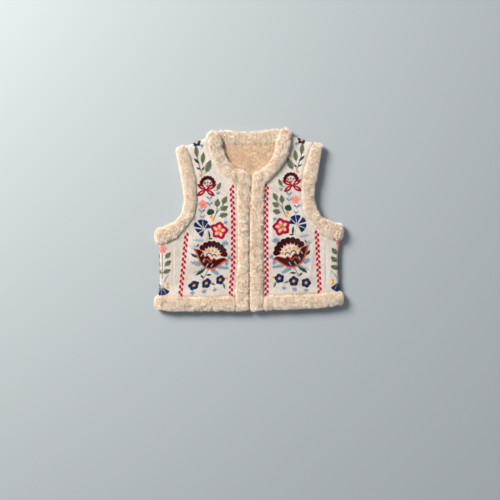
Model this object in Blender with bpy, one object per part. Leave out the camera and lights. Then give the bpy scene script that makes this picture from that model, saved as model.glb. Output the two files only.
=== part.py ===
"""Embroidered shearling gilet, laid flat with its front up.

Metres, +Z up. The gilet lies on the ground plane, +Y runs from hem to collar, and left and
right are as seen from above. The cloth is shearling: suede outside, short pile inside.
Each tabled shape is the right half of the gilet; the left half mirrors it.
"""

import math
from collections import namedtuple

import bmesh
import bpy
from mathutils import Vector

# Cloth and fur
WALL = 0.0064
SEAM = 0.0006
CURVE_SEAM = 0.0012
LAYER_GAP = 0.0006

# A band's half thickness: on its outer side, on its inner side, and on its outer side where
# it lies on the ground
BAND_OUT = 0.0068
BAND_IN = 0.0054
BAND_DOWN = 0.0050
COLLAR_OUT = 0.0080
COLLAR_IN = 0.0058
COLLAR_DOWN = 0.0060

# Heights of the middle of a lower band and of an upper band that lies on it
LOW_BAND = BAND_DOWN
HIGH_BAND = LOW_BAND + 2.0 * BAND_IN + LAYER_GAP
LOW_COLLAR = COLLAR_DOWN
HIGH_COLLAR = LOW_COLLAR + 2.0 * COLLAR_IN + LAYER_GAP
FRONT_FLOOR = WALL + LAYER_GAP
FRONT_BAND_LEVEL = FRONT_FLOOR + BAND_IN

# How the gilet lies: each row rises a little to the right, and the front edges lean
LAY_SKEW = 0.024
LEAN = 0.0050
LEAN_FROM = 0.015
LEAN_MOST = 0.105
LEAN_END = 0.190
LEAN_REACH = 0.110

# The left front is drawn over towards the middle by this much at its band's seam. That fades
# to the gap between the fronts, out over the panel, up to the neck and down to the hem.
DRAW = 0.0065
DRAW_MOST_X = 0.036
DRAW_END_X = 0.120
DRAW_FROM_Y = -0.185
DRAW_MOST_Y = -0.110
DRAW_FADE_Y = 0.005
DRAW_END_Y = 0.090

# Cut of the panels
SIDE_SEAM_X = 0.1950
SIDE_FOLD_X = 0.2345
SIDE_FOLD_WAIST = 0.0030
EDGE_LIFT = 0.0030
EDGE_LIFT_REACH = 0.0280
SHOULDER_ROLL = 0.0075
SHOULDER_NECK = (0.1118, 0.2132)
SHOULDER_TIP = (0.1628, 0.1935)
BACK_NECK_END_X = 0.1000
BACK_NECK_CORNER = (0.1092, 0.2020)
BACK_SHOULDER_START = (0.1226, 0.2085)

# A panel's least thickness at the shoulder's roll, as a share of its full one
ROLL_LEAST = 0.08

# Part of its length over which a soft fold fades in and out
FOLD_FADE = 0.25

# Grid steps
FRONT_COLUMNS = 11
FRONT_ROWS = 27
BACK_COLUMNS = 24
BACK_ROWS = 18
SIDE_ROWS = 10
SIDE_STEPS = 4
ROLL_STEPS = 3
TURN_STEPS = 5

# Rings along each band, and points along each seam line that the panels follow
CURVE_STEPS = 16
ARMHOLE_FRONT_RINGS = 25
ARMHOLE_BACK_RINGS = 19
COLLAR_FRONT_RINGS = 15
COLLAR_BACK_RINGS = 10
HEM_FRONT_RINGS = 13
HEM_BACK_RINGS = 10
FRONT_BAND_RINGS = 16
ARMHOLE_SEAM_POINTS = 34
COLLAR_SEAM_POINTS = 26
HEM_SEAM_POINTS = 16
BACK_NECK_POINTS = 18

# Edges sharper than this are not shaded smooth
SHARP_ANGLE = math.radians(55.0)

# Stations of a band: its seam edge, its free edge, and the height of its middle
Station = namedtuple("Station", "seam_x seam_y edge_x edge_y level")

ARMHOLE = [
    Station(0.1605, 0.1835, 0.1885, 0.1770, HIGH_BAND),
    Station(0.1510, 0.1560, 0.1830, 0.1490, HIGH_BAND),
    Station(0.1403, 0.1180, 0.1765, 0.1120, HIGH_BAND),
    Station(0.1360, 0.0820, 0.1700, 0.0800, HIGH_BAND),
    Station(0.1355, 0.0500, 0.1680, 0.0550, HIGH_BAND),
    Station(0.1395, 0.0200, 0.1725, 0.0270, HIGH_BAND),
    Station(0.1510, -0.0010, 0.1825, 0.0060, HIGH_BAND),
    Station(0.1680, -0.0225, 0.1970, -0.0055, HIGH_BAND),
    Station(0.1870, -0.0430, 0.2130, -0.0115, HIGH_BAND),
    Station(0.2080, -0.0550, 0.2250, -0.0155, HIGH_BAND),
    Station(0.2325, -0.0595, 0.2335, -0.0180, HIGH_BAND),
]

COLLAR_FRONT = [
    Station(0.0376, 0.0888, 0.0376, 0.1322, 0.0138),
    Station(0.0510, 0.1000, 0.0452, 0.1388, 0.0140),
    Station(0.0665, 0.1155, 0.0535, 0.1482, 0.0145),
    Station(0.0815, 0.1315, 0.0600, 0.1612, 0.0152),
    Station(0.0938, 0.1498, 0.0655, 0.1765, 0.0162),
    Station(0.1023, 0.1700, 0.0695, 0.1930, 0.0172),
    Station(0.1062, 0.1895, 0.0742, 0.2105, 0.0180),
    Station(0.1052, 0.2070, 0.0835, 0.2245, HIGH_COLLAR),
]

COLLAR_BACK = [
    Station(0.1052, 0.2070, 0.0835, 0.2245, LOW_COLLAR),
    Station(0.0880, 0.1975, 0.0760, 0.2300, LOW_COLLAR),
    Station(0.0660, 0.1955, 0.0620, 0.2312, LOW_COLLAR),
    Station(0.0440, 0.1945, 0.0425, 0.2288, LOW_COLLAR),
    Station(0.0220, 0.1940, 0.0215, 0.2265, LOW_COLLAR),
    Station(0.0000, 0.1938, 0.0000, 0.2256, LOW_COLLAR),
]

FRONT_BAND = [
    Station(0.0364, -0.2354, 0.0012, -0.2356, HIGH_BAND),
    Station(0.0364, -0.2020, 0.0012, -0.2020, HIGH_BAND),
    Station(0.0364, -0.1800, 0.0012, -0.1800, 0.0140),
    Station(0.0364, -0.1300, 0.0012, -0.1300, FRONT_BAND_LEVEL),
    Station(0.0364, -0.0600, 0.0012, -0.0600, FRONT_BAND_LEVEL),
    Station(0.0364, 0.0000, 0.0012, 0.0000, FRONT_BAND_LEVEL),
    Station(0.0364, 0.0500, 0.0012, 0.0500, FRONT_BAND_LEVEL),
    Station(0.0364, 0.0880, 0.0012, 0.0810, 0.0134),
    Station(0.0364, 0.1306, 0.0012, 0.1130, 0.0138),
]

HEM = [
    Station(0.0370, -0.1990, 0.0370, -0.2354, HIGH_BAND),
    Station(0.0900, -0.1990, 0.0900, -0.2350, HIGH_BAND),
    Station(0.1400, -0.1985, 0.1400, -0.2342, HIGH_BAND),
    Station(0.1850, -0.1965, 0.1850, -0.2328, HIGH_BAND),
    Station(0.2120, -0.1942, 0.2120, -0.2305, HIGH_BAND),
    Station(0.2335, -0.1922, 0.2335, -0.2275, HIGH_BAND),
]

# Soft folds in a front: a ridge from one point to another, its half width and its height
Fold = namedtuple("Fold", "from_x from_y to_x to_y half_width height")

FOLDS_RIGHT = [
    Fold(0.1960, -0.0500, 0.1930, -0.1900, 0.0150, 0.0018),
    Fold(0.1500, -0.0150, 0.0950, -0.1500, 0.0240, 0.0016),
    Fold(0.0700, 0.0600, 0.0560, -0.0900, 0.0170, 0.0012),
    Fold(0.1250, 0.1650, 0.1080, 0.0500, 0.0200, 0.0014),
]

FOLDS_LEFT = [
    Fold(0.1955, -0.0550, 0.1970, -0.1800, 0.0160, 0.0016),
    Fold(0.1620, -0.0300, 0.1150, -0.1300, 0.0220, 0.0018),
    Fold(0.0600, 0.0300, 0.0720, -0.1500, 0.0200, 0.0012),
    Fold(0.1300, 0.1400, 0.1000, 0.0200, 0.0180, 0.0013),
]

# A band's section: place across it from seam to free edge, and its height as a share of
# the half thickness, for the outer skin above, the outer skin on the ground, the inner skin
Skin = namedtuple("Skin", "across crowned grounded inner")

SECTION = [
    Skin(-1.00, 0.00, 0.00, 0.00),
    Skin(-0.86, 0.64, 0.74, 0.72),
    Skin(-0.48, 0.94, 1.00, 1.00),
    Skin(0.00, 1.00, 1.00, 1.00),
    Skin(0.48, 0.94, 1.00, 1.00),
    Skin(0.86, 0.64, 0.74, 0.72),
    Skin(1.00, 0.00, 0.00, 0.00),
]


def remove_all_objects():
    for thing in list(bpy.data.objects):
        bpy.data.objects.remove(thing, do_unlink=True)


def smooth_step(value):
    """0 below 0, 1 above 1, and an even ease between."""
    value = min(max(value, 0.0), 1.0)
    return value * value * (3.0 - 2.0 * value)


def curve_point(before, start, end, after, share):
    """A point of the Catmull-Rom curve from start to end, for each column of the rows."""
    point = []
    for a, b, c, d in zip(before, start, end, after):
        slope = c - a
        bend = 2.0 * a - 5.0 * b + 4.0 * c - d
        twist = 3.0 * b - a - 3.0 * c + d
        point.append(0.5 * (2.0 * b + share * (slope + share * (bend + share * twist))))
    return point


def smooth_rows(rows, count):
    """Rows on a smooth curve through the table, count of them, evenly spaced along it."""
    kind = type(rows[0])
    padded = [rows[0]] + list(rows) + [rows[-1]]
    dense = []
    for index in range(len(rows) - 1):
        for step in range(CURVE_STEPS):
            dense.append(curve_point(*padded[index:index + 4], step / CURVE_STEPS))
    dense.append(list(rows[-1]))
    travelled = [0.0]
    for first, second in zip(dense, dense[1:]):
        seam_step = math.dist(first[0:2], second[0:2])
        edge_step = math.dist(first[2:4], second[2:4])
        travelled.append(travelled[-1] + 0.5 * (seam_step + edge_step))
    spaced = []
    place = 0
    for step in range(count):
        target = travelled[-1] * step / (count - 1)
        while place < len(dense) - 2 and travelled[place + 1] < target:
            place += 1
        share = (target - travelled[place]) / (travelled[place + 1] - travelled[place])
        pair = zip(dense[place], dense[place + 1])
        spaced.append(kind(*[low + (high - low) * share for low, high in pair]))
    return spaced


def value_at(path, wanted):
    """The x of a path of (x, y) points at the height y, the path running up or down."""
    ordered = sorted(path, key=lambda point: point[1])
    if wanted <= ordered[0][1]:
        return ordered[0][0]
    for low, high in zip(ordered, ordered[1:]):
        if wanted <= high[1]:
            share = (wanted - low[1]) / (high[1] - low[1])
            return low[0] + (high[0] - low[0]) * share
    return ordered[-1][0]


def height_at(path, wanted):
    """The y of a path of (x, y) points at the place x."""
    return value_at([(y, x) for x, y in path], wanted)


def distance_to(path, x, y):
    """How far the point (x, y) lies from a path of (x, y) points."""
    point = Vector((x, y))
    nearest = math.inf
    for first, second in zip(path, path[1:]):
        start = Vector(first)
        along = Vector(second) - start
        share = min(max((point - start).dot(along) / along.length_squared, 0.0), 1.0)
        nearest = min(nearest, (point - start - along * share).length)
    return nearest


def moved_aside(path, distance):
    """The path moved square to itself, to its right as it runs."""
    moved = []
    for index, (x, y) in enumerate(path):
        before = Vector(path[max(index - 1, 0)])
        after = Vector(path[min(index + 1, len(path) - 1)])
        along = (after - before).normalized()
        moved.append((x + along.y * distance, y - along.x * distance))
    return moved


ARMHOLE_LINE = smooth_rows(ARMHOLE, ARMHOLE_SEAM_POINTS)
ARMHOLE_SEAM = [(row.seam_x, row.seam_y) for row in ARMHOLE_LINE]
PANEL_ARMHOLE = moved_aside(ARMHOLE_SEAM, CURVE_SEAM)
COLLAR_LINE = smooth_rows(COLLAR_FRONT, COLLAR_SEAM_POINTS)
COLLAR_SEAM = [(row.seam_x, row.seam_y) for row in COLLAR_LINE]
HEM_LINE = smooth_rows(HEM, HEM_SEAM_POINTS)
HEM_SEAM = [(row.seam_x, row.seam_y) for row in HEM_LINE]
BACK_NECK_LINE = smooth_rows(COLLAR_BACK, BACK_NECK_POINTS)
BACK_NECK_SEAM = [(row.seam_x, row.seam_y) for row in BACK_NECK_LINE]


def below_shoulder(x, y):
    """How far a point lies below the shoulder line, square to it."""
    along = (Vector(SHOULDER_TIP) - Vector(SHOULDER_NECK)).normalized()
    outward = Vector((-along.y, along.x))
    return (Vector(SHOULDER_NECK) - Vector((x, y))).dot(outward)


def fold_height(x, y, folds):
    """Height of the soft folds at a point: each fades to both of its ends."""
    total = 0.0
    for fold in folds:
        start = Vector((fold.from_x, fold.from_y))
        along = Vector((fold.to_x, fold.to_y)) - start
        share = (Vector((x, y)) - start).dot(along) / along.length_squared
        aside = (Vector((x, y)) - start - along * share).length
        ends = smooth_step(share / FOLD_FADE) * smooth_step((1.0 - share) / FOLD_FADE)
        total += fold.height * ends * (1.0 - smooth_step(aside / fold.half_width))
    return total


def front_top(x, y, folds):
    """Height of a front's outer face: raised beside the thick bands and along its folds."""
    to_armhole = distance_to(ARMHOLE_SEAM, x, y)
    to_hem = max(y - height_at(HEM_SEAM, x), 0.0)
    near = min(to_armhole, to_hem) / EDGE_LIFT_REACH
    lift = EDGE_LIFT * (1.0 - smooth_step(near))
    return FRONT_FLOOR + WALL + lift + fold_height(x, y, folds)


def roll(x, y):
    """1 inside the panel, down to 0 at the shoulder line, along a quarter circle."""
    inset = min(max(below_shoulder(x, y) / SHOULDER_ROLL, 0.0), 1.0)
    return math.sqrt(1.0 - (1.0 - inset) ** 2)


def lay(point, leans):
    """Turns a point of the even pattern into the place where the cloth lies."""
    x, y, z = point
    if leans:
        rise = smooth_step((y - LEAN_FROM) / (LEAN_MOST - LEAN_FROM))
        fall = 1.0 - smooth_step((y - LEAN_MOST) / (LEAN_END - LEAN_MOST))
        shift = LEAN * rise * fall * (1.0 - smooth_step(abs(x) / LEAN_REACH))
        if x < 0.0:
            near = smooth_step(-x / DRAW_MOST_X)
            far = smooth_step((-x - DRAW_MOST_X) / (DRAW_END_X - DRAW_MOST_X))
            up = smooth_step((y - DRAW_FROM_Y) / (DRAW_MOST_Y - DRAW_FROM_Y))
            neck = smooth_step((y - DRAW_FADE_Y) / (DRAW_END_Y - DRAW_FADE_Y))
            shift += DRAW * near * (1.0 - far) * up * (1.0 - neck)
        x += shift
    return Vector((x, y + LAY_SKEW * x, z))


def finish_object(name, bm, leans, colour, roughness):
    """Makes the named object from a closed bmesh, laid out and with its own material."""
    for vert in bm.verts:
        vert.co = lay(vert.co, leans)
    bmesh.ops.recalc_face_normals(bm, faces=bm.faces)
    mesh = bpy.data.meshes.new(name)
    bm.to_mesh(mesh)
    bm.free()
    mesh.shade_smooth()
    mesh.set_sharp_from_angle(angle=SHARP_ANGLE)
    material = bpy.data.materials.new(name)
    material.use_nodes = True
    shader = material.node_tree.nodes["Principled BSDF"]
    shader.inputs["Base Color"].default_value = (*colour, 1.0)
    shader.inputs["Roughness"].default_value = roughness
    shader.inputs["Metallic"].default_value = 0.0
    mesh.materials.append(material)
    thing = bpy.data.objects.new(name, mesh)
    bpy.context.scene.collection.objects.link(thing)
    return thing


SUEDE = (0.80, 0.73, 0.64)
FUR = (0.75, 0.62, 0.47)
SUEDE_ROUGHNESS = 0.90
FUR_ROUGHNESS = 0.95


def close_grid(bm, upper, lower):
    """Joins an upper and a lower grid of vertices into one closed wall."""
    rows = len(upper)
    columns = len(upper[0])
    for row in range(rows - 1):
        for column in range(columns - 1):
            for grid in (upper, lower):
                bm.faces.new((grid[row][column], grid[row][column + 1],
                              grid[row + 1][column + 1], grid[row + 1][column]))
    rim = [(0, column) for column in range(columns)]
    rim += [(row, columns - 1) for row in range(1, rows)]
    rim += [(rows - 1, column) for column in range(columns - 2, -1, -1)]
    rim += [(row, 0) for row in range(rows - 2, 0, -1)]
    for (row, column), (next_row, next_column) in zip(rim, rim[1:] + rim[:1]):
        bm.faces.new((upper[row][column], upper[next_row][next_column],
                      lower[next_row][next_column], lower[row][column]))


def rolled_rows(count, length):
    """Shares from hem to shoulder, even but for the small steps round the shoulder's roll."""
    roll_share = SHOULDER_ROLL / length
    even = [(1.0 - roll_share) * step / count for step in range(count + 1)]
    for step in range(1, ROLL_STEPS + 1):
        angle = 0.5 * math.pi * step / ROLL_STEPS
        even.append(1.0 - roll_share * (1.0 - math.sin(angle)))
    return even


def make_front(name, side, folds):
    """One front: from the front band and the collar out to the armhole and the side seam."""
    bm = bmesh.new()
    inner_top = (SHOULDER_NECK[0] + CURVE_SEAM, SHOULDER_NECK[1])
    inner_low_y = HEM_SEAM[0][1] + SEAM
    outer_low_y = height_at(HEM_SEAM, SIDE_SEAM_X) + SEAM
    band_edge_x = FRONT_BAND[0].seam_x + SEAM
    inner_path = [(x + CURVE_SEAM, y) for x, y in COLLAR_SEAM] + [inner_top]
    outer_path = PANEL_ARMHOLE + [SHOULDER_TIP]
    upper = []
    lower = []
    for share in rolled_rows(FRONT_ROWS, SHOULDER_TIP[1] - outer_low_y):
        inner_y = inner_low_y + (inner_top[1] - inner_low_y) * share
        outer_y = outer_low_y + (SHOULDER_TIP[1] - outer_low_y) * share
        inner_x = max(band_edge_x, value_at(inner_path, inner_y))
        if inner_y < COLLAR_SEAM[0][1]:
            inner_x = band_edge_x
        outer_x = min(SIDE_SEAM_X - 0.5 * SEAM, value_at(outer_path, outer_y))
        upper_row = []
        lower_row = []
        for column in range(FRONT_COLUMNS + 1):
            across = column / FRONT_COLUMNS
            x = inner_x + (outer_x - inner_x) * across
            y = inner_y + (outer_y - inner_y) * across
            y = max(y, height_at(HEM_SEAM, x) + SEAM)
            top = front_top(x, y, folds)
            turned = max(roll(x, y), ROLL_LEAST)
            high = FRONT_FLOOR + (top - FRONT_FLOOR) * turned
            low = FRONT_FLOOR + (top - WALL - FRONT_FLOOR) * turned
            upper_row.append(bm.verts.new((side * x, y, high)))
            lower_row.append(bm.verts.new((side * x, y, low)))
        upper.append(upper_row)
        lower.append(lower_row)
    close_grid(bm, upper, lower)
    return finish_object(name, bm, True, SUEDE, SUEDE_ROUGHNESS)


def make_back():
    """The back: flat on the ground, up to the collar's seam and the shoulder lines."""
    bm = bmesh.new()
    outer_path = PANEL_ARMHOLE + [SHOULDER_TIP]
    neck_path = [(x, y - CURVE_SEAM) for x, y in BACK_NECK_SEAM if x < BACK_NECK_END_X]
    top_path = neck_path + [BACK_NECK_CORNER, BACK_SHOULDER_START, SHOULDER_TIP]
    upper = []
    lower = []
    for share in rolled_rows(BACK_ROWS, SHOULDER_TIP[1] - HEM_SEAM[0][1]):
        upper_row = []
        lower_row = []
        for column in range(BACK_COLUMNS + 1):
            across = 2.0 * column / BACK_COLUMNS - 1.0
            reach = abs(across) * SHOULDER_TIP[0]
            top_y = height_at(top_path, reach)
            wide = abs(across) * SIDE_SEAM_X
            low_y = height_at(HEM_SEAM, wide) + SEAM
            y = low_y + (top_y - low_y) * share
            edge_x = min(SIDE_SEAM_X - 0.5 * SEAM, value_at(outer_path, y))
            x = across * edge_x
            turned = roll(abs(x), y) if reach > BACK_NECK_CORNER[0] else 1.0
            upper_row.append(bm.verts.new((x, y, WALL)))
            lower_row.append(bm.verts.new((x, y, WALL * (1.0 - max(turned, ROLL_LEAST)))))
        upper.append(upper_row)
        lower.append(lower_row)
    close_grid(bm, upper, lower)
    return finish_object("back", bm, False, SUEDE, SUEDE_ROUGHNESS)


def side_section(fold_x, top):
    """Section of a side panel that turns round its fold: outer path, then inner path back."""
    middle = 0.5 * top
    turn_x = fold_x - middle
    start_x = SIDE_SEAM_X + 0.5 * SEAM
    flat = [start_x + (turn_x - start_x) * step / SIDE_STEPS for step in range(SIDE_STEPS + 1)]
    outer = [(x, top) for x in flat]
    for step in range(1, TURN_STEPS):
        angle = 0.5 * math.pi - math.pi * step / TURN_STEPS
        outer.append((turn_x + middle * math.cos(angle), middle + middle * math.sin(angle)))
    outer += [(x, 0.0) for x in reversed(flat)]
    inner = [(x, WALL) for x in flat]
    inner += [(x, top - WALL) for x in reversed(flat)]
    return outer + inner


def make_side(name, side, folds):
    """One side panel: its upper half lies beside a front, its lower half beside the back."""
    bm = bmesh.new()
    low_y = height_at(HEM_SEAM, SIDE_FOLD_X) + SEAM
    rings = []
    for row in range(SIDE_ROWS + 1):
        share = row / SIDE_ROWS
        waist = SIDE_FOLD_WAIST * math.sin(math.pi * share)
        fold_x = SIDE_FOLD_X - waist
        ring = []
        high_y = height_at(PANEL_ARMHOLE, SIDE_SEAM_X)
        y = low_y + (high_y - low_y) * share
        top = front_top(SIDE_SEAM_X, y, folds)
        for x, z in side_section(fold_x, top):
            low = height_at(HEM_SEAM, x) + SEAM
            high = height_at(PANEL_ARMHOLE, x)
            ring.append(bm.verts.new((side * x, low + (high - low) * share, z)))
        rings.append(ring)
    join_rings(bm, rings, closed=False)
    return finish_object(name, bm, True, SUEDE, SUEDE_ROUGHNESS)


def join_rings(bm, rings, closed):
    """Skins a row of rings; an open row gets a flat cap at each end."""
    pairs = list(zip(rings, rings[1:]))
    if closed:
        pairs.append((rings[-1], rings[0]))
    for first, second in pairs:
        count = len(first)
        for index in range(count):
            following = (index + 1) % count
            bm.faces.new((first[index], first[following], second[following], second[index]))
    if not closed:
        bm.faces.new(rings[0])
        bm.faces.new(rings[-1])


def band_ring(bm, side, row, turn, travel, sizes, level):
    """One ring of a band. turn is 0 on top of the cloth, 1 on the ground, between on a fold;
    travel is the way the band runs over the fold, and sizes its three half thicknesses."""
    out_top, out_ground, inside = sizes
    angle = math.pi * turn
    normal = Vector((travel.x * math.sin(angle), travel.y * math.sin(angle), math.cos(angle)))
    seam = Vector((row.seam_x, row.seam_y, 0.0))
    edge = Vector((row.edge_x, row.edge_y, 0.0))
    middle = 0.5 * (seam + edge) + level
    half = 0.5 * (edge - seam)
    out_half = out_top + (out_ground - out_top) * turn
    ring = []
    for skin in SECTION:
        share = skin.crowned + (skin.grounded - skin.crowned) * turn
        ring.append(middle + half * skin.across + normal * (out_half * share))
    for skin in reversed(SECTION[1:-1]):
        ring.append(middle + half * skin.across - normal * (inside * skin.inner))
    return [bm.verts.new((side * point.x, point.y, point.z)) for point in ring]


def level_of(row):
    return Vector((0.0, 0.0, row.level))


def turn_rings(bm, side, high_row, low_row, travel, sizes, downwards):
    """The rings round a fold, between a band's upper row and its lower row."""
    radius = 0.5 * (high_row.level - low_row.level)
    middle_z = 0.5 * (high_row.level + low_row.level)
    rings = []
    for step in range(1, TURN_STEPS):
        turn = step / TURN_STEPS
        if not downwards:
            turn = 1.0 - turn
        angle = math.pi * turn
        reach = radius * math.sin(angle)
        level = Vector((travel.x * reach, travel.y * reach,
                        middle_z + radius * math.cos(angle)))
        rings.append(band_ring(bm, side, high_row, turn, travel, sizes, level))
    return rings


def across_of(row):
    """The way from a band's seam edge to its free edge, in plan."""
    return Vector((row.edge_x - row.seam_x, row.edge_y - row.seam_y)).normalized()


def make_armhole_band(name, side):
    """A fur band round one armhole: a ring folded flat at the shoulder and the underarm."""
    bm = bmesh.new()
    sizes = (BAND_OUT, BAND_DOWN, BAND_IN)
    front = smooth_rows(ARMHOLE, ARMHOLE_FRONT_RINGS)
    low = smooth_rows(ARMHOLE, ARMHOLE_BACK_RINGS)
    back = [row._replace(level=LOW_BAND) for row in low]
    flat = Vector((0.0, 0.0))
    tip_across = across_of(front[0])
    over_shoulder = Vector((-tip_across.y, tip_across.x))
    side_across = across_of(front[-1])
    round_side = Vector((side_across.y, -side_across.x))
    rings = [band_ring(bm, side, row, 0.0, flat, sizes, level_of(row)) for row in front]
    rings += turn_rings(bm, side, front[-1], back[-1], round_side, sizes, True)
    rings += [band_ring(bm, side, row, 1.0, flat, sizes, level_of(row))
              for row in reversed(back)]
    rings += turn_rings(bm, side, front[0], back[0], over_shoulder, sizes, False)
    join_rings(bm, rings, closed=True)
    return finish_object(name, bm, False, FUR, FUR_ROUGHNESS)


def half_strip(bm, side, front, back, travel, sizes):
    """Half of a strip that runs on top, round a fold, and back along the ground."""
    flat = Vector((0.0, 0.0))
    rings = [band_ring(bm, side, row, 0.0, flat, sizes, level_of(row)) for row in front]
    rings += turn_rings(bm, side, front[-1], back[0], travel, sizes, True)
    rings += [band_ring(bm, side, row, 1.0, flat, sizes, level_of(row)) for row in back]
    return rings


def make_folded_strip(name, front, back, travel, sizes, leans):
    """A strip in one piece: right front, right fold, back, left fold, left front."""
    bm = bmesh.new()
    right = half_strip(bm, 1.0, front, back, travel, sizes)
    left = half_strip(bm, -1.0, front, back[:-1], travel, sizes)
    join_rings(bm, right + left[::-1], closed=False)
    return finish_object(name, bm, leans, FUR, FUR_ROUGHNESS)


def make_collar():
    front = smooth_rows(COLLAR_FRONT, COLLAR_FRONT_RINGS)
    back = smooth_rows(COLLAR_BACK, COLLAR_BACK_RINGS)
    across = across_of(front[-1])
    over = Vector((across.y, -across.x))
    sizes = (COLLAR_OUT, COLLAR_DOWN, COLLAR_IN)
    return make_folded_strip("collar", front, back, over, sizes, True)


def make_hem_band():
    front = smooth_rows(HEM, HEM_FRONT_RINGS)
    low = reversed(smooth_rows(HEM, HEM_BACK_RINGS))
    back = [row._replace(level=LOW_BAND) for row in low]
    back.append(back[-1]._replace(seam_x=0.0, edge_x=0.0))
    across = across_of(front[-1])
    outward = Vector((-across.y, across.x))
    sizes = (BAND_OUT, BAND_DOWN, BAND_IN)
    return make_folded_strip("hem_band", front, back, outward, sizes, False)


def make_front_band(name, side):
    """The fur strip down one front edge, from the neck to the hem."""
    bm = bmesh.new()
    sizes = (BAND_OUT, BAND_DOWN, BAND_IN)
    flat = Vector((0.0, 0.0))
    rows = smooth_rows(FRONT_BAND, FRONT_BAND_RINGS)
    rings = [band_ring(bm, side, row, 0.0, flat, sizes, level_of(row)) for row in rows]
    join_rings(bm, rings, closed=False)
    return finish_object(name, bm, True, FUR, FUR_ROUGHNESS)


def centre_on_origin(things):
    """Moves the whole gilet so that the origin is under the middle of its box."""
    points = [vert.co for thing in things for vert in thing.data.vertices]
    shift = Vector((
        -0.5 * (min(point.x for point in points) + max(point.x for point in points)),
        -0.5 * (min(point.y for point in points) + max(point.y for point in points)),
        -min(point.z for point in points),
    ))
    for thing in things:
        for vert in thing.data.vertices:
            vert.co += shift


def main():
    remove_all_objects()
    things = [make_back()]
    for word, side, folds in (("left", -1.0, FOLDS_LEFT), ("right", 1.0, FOLDS_RIGHT)):
        things.append(make_front("front_" + word, side, folds))
        things.append(make_side("side_" + word, side, folds))
        things.append(make_front_band("front_band_" + word, side))
        things.append(make_armhole_band("armhole_band_" + word, side))
    things.append(make_collar())
    things.append(make_hem_band())
    centre_on_origin(things)


main()
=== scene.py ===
"""The looks of an embroidered shearling gilet that lies flat with its front up."""

import math
import random

import bmesh
import bpy
import numpy as np
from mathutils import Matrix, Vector
from mathutils.bvhtree import BVHTree


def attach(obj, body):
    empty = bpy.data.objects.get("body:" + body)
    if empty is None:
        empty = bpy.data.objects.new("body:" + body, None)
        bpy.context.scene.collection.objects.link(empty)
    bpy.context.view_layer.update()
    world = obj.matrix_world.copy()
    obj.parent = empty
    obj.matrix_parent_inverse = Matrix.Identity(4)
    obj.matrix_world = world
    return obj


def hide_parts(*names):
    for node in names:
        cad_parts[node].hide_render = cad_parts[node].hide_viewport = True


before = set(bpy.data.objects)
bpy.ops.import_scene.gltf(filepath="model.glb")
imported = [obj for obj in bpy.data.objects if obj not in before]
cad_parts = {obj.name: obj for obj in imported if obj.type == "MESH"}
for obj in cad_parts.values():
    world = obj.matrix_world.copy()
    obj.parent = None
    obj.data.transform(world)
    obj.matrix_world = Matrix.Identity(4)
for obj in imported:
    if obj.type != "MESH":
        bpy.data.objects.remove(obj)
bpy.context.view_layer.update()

# The view: straight down on the gilet, as the photograph was taken, with the gilet left of
# the middle and above it. One pixel of the 500-pixel picture is 2.6 mm of the ground.
PICTURE_PIXELS = 500
GROUND_PER_PIXEL = 0.0026
CAMERA_HEIGHT = 2.2
CAMERA_PLACE = (0.0021, -0.0784)

camera_data = bpy.data.cameras.new("camera")
camera = bpy.data.objects.new("camera", camera_data)
bpy.context.scene.collection.objects.link(camera)
camera.location = (*CAMERA_PLACE, CAMERA_HEIGHT)
camera_data.sensor_fit = "HORIZONTAL"
half_ground = 0.5 * PICTURE_PIXELS * GROUND_PER_PIXEL
camera_data.angle = 2.0 * math.atan(half_ground / CAMERA_HEIGHT)
camera_data.clip_end = 20.0
bpy.context.scene.camera = camera


def linear(hex_colour):
    """An sRGB hex colour as the linear values that shaders take."""
    values = []
    for start in (1, 3, 5):
        value = int(hex_colour[start:start + 2], 16) / 255.0
        if value <= 0.04045:
            values.append(value / 12.92)
        else:
            values.append(((value + 0.055) / 1.055) ** 2.4)
    return (*values, 1.0)


def add_node(tree, kind, inputs=None, **settings):
    """Adds a node with its settings; each input is a value, or a socket to link from."""
    node = tree.nodes.new(kind)
    for name, value in settings.items():
        setattr(node, name, value)
    for key, value in (inputs or {}).items():
        if isinstance(value, bpy.types.NodeSocket):
            tree.links.new(value, node.inputs[key])
        else:
            node.inputs[key].default_value = value
    return node


def new_material(name):
    """A material with an empty tree, its Principled shader and its output."""
    material = bpy.data.materials.new(name)
    material.use_nodes = True
    tree = material.node_tree
    tree.nodes.clear()
    shader = add_node(tree, "ShaderNodeBsdfPrincipled")
    add_node(tree, "ShaderNodeOutputMaterial", {"Surface": shader.outputs["BSDF"]})
    return material, tree, shader


# Light: a large soft window high on the left, and a weaker one opposite that keeps the
# shaded edges open. The world is a plain pale sky.
KEY_PLACE = (-2.3, 1.9, 2.15)
KEY_SIDE = 1.5
KEY_WATTS = 288.0
FILL_PLACE = (1.8, -1.6, 2.4)
FILL_SIDE = 2.4
FILL_WATTS = 9.0
SKY_STRENGTH = 0.30


def add_window(name, place, side, watts, colour):
    data = bpy.data.lights.new(name, "AREA")
    data.shape = "SQUARE"
    data.size = side
    data.energy = watts
    data.color = linear(colour)[:3]
    lamp = bpy.data.objects.new(name, data)
    bpy.context.scene.collection.objects.link(lamp)
    lamp.location = place
    lamp.rotation_euler = (-Vector(place)).to_track_quat("-Z", "Y").to_euler()


add_window("window_light", KEY_PLACE, KEY_SIDE, KEY_WATTS, "#FFF8EF")
add_window("fill_light", FILL_PLACE, FILL_SIDE, FILL_WATTS, "#F4F7FF")
world = bpy.data.worlds.new("sky")
world.use_nodes = True
sky = world.node_tree.nodes["Background"]
sky.inputs["Color"].default_value = linear("#EEF2F6")
sky.inputs["Strength"].default_value = SKY_STRENGTH
bpy.context.scene.world = world
bpy.context.scene.view_settings.view_transform = "Standard"

# Floor: plain pale plaster, matt, a little cool.
FLOOR_SIDE = 30.0

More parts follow.
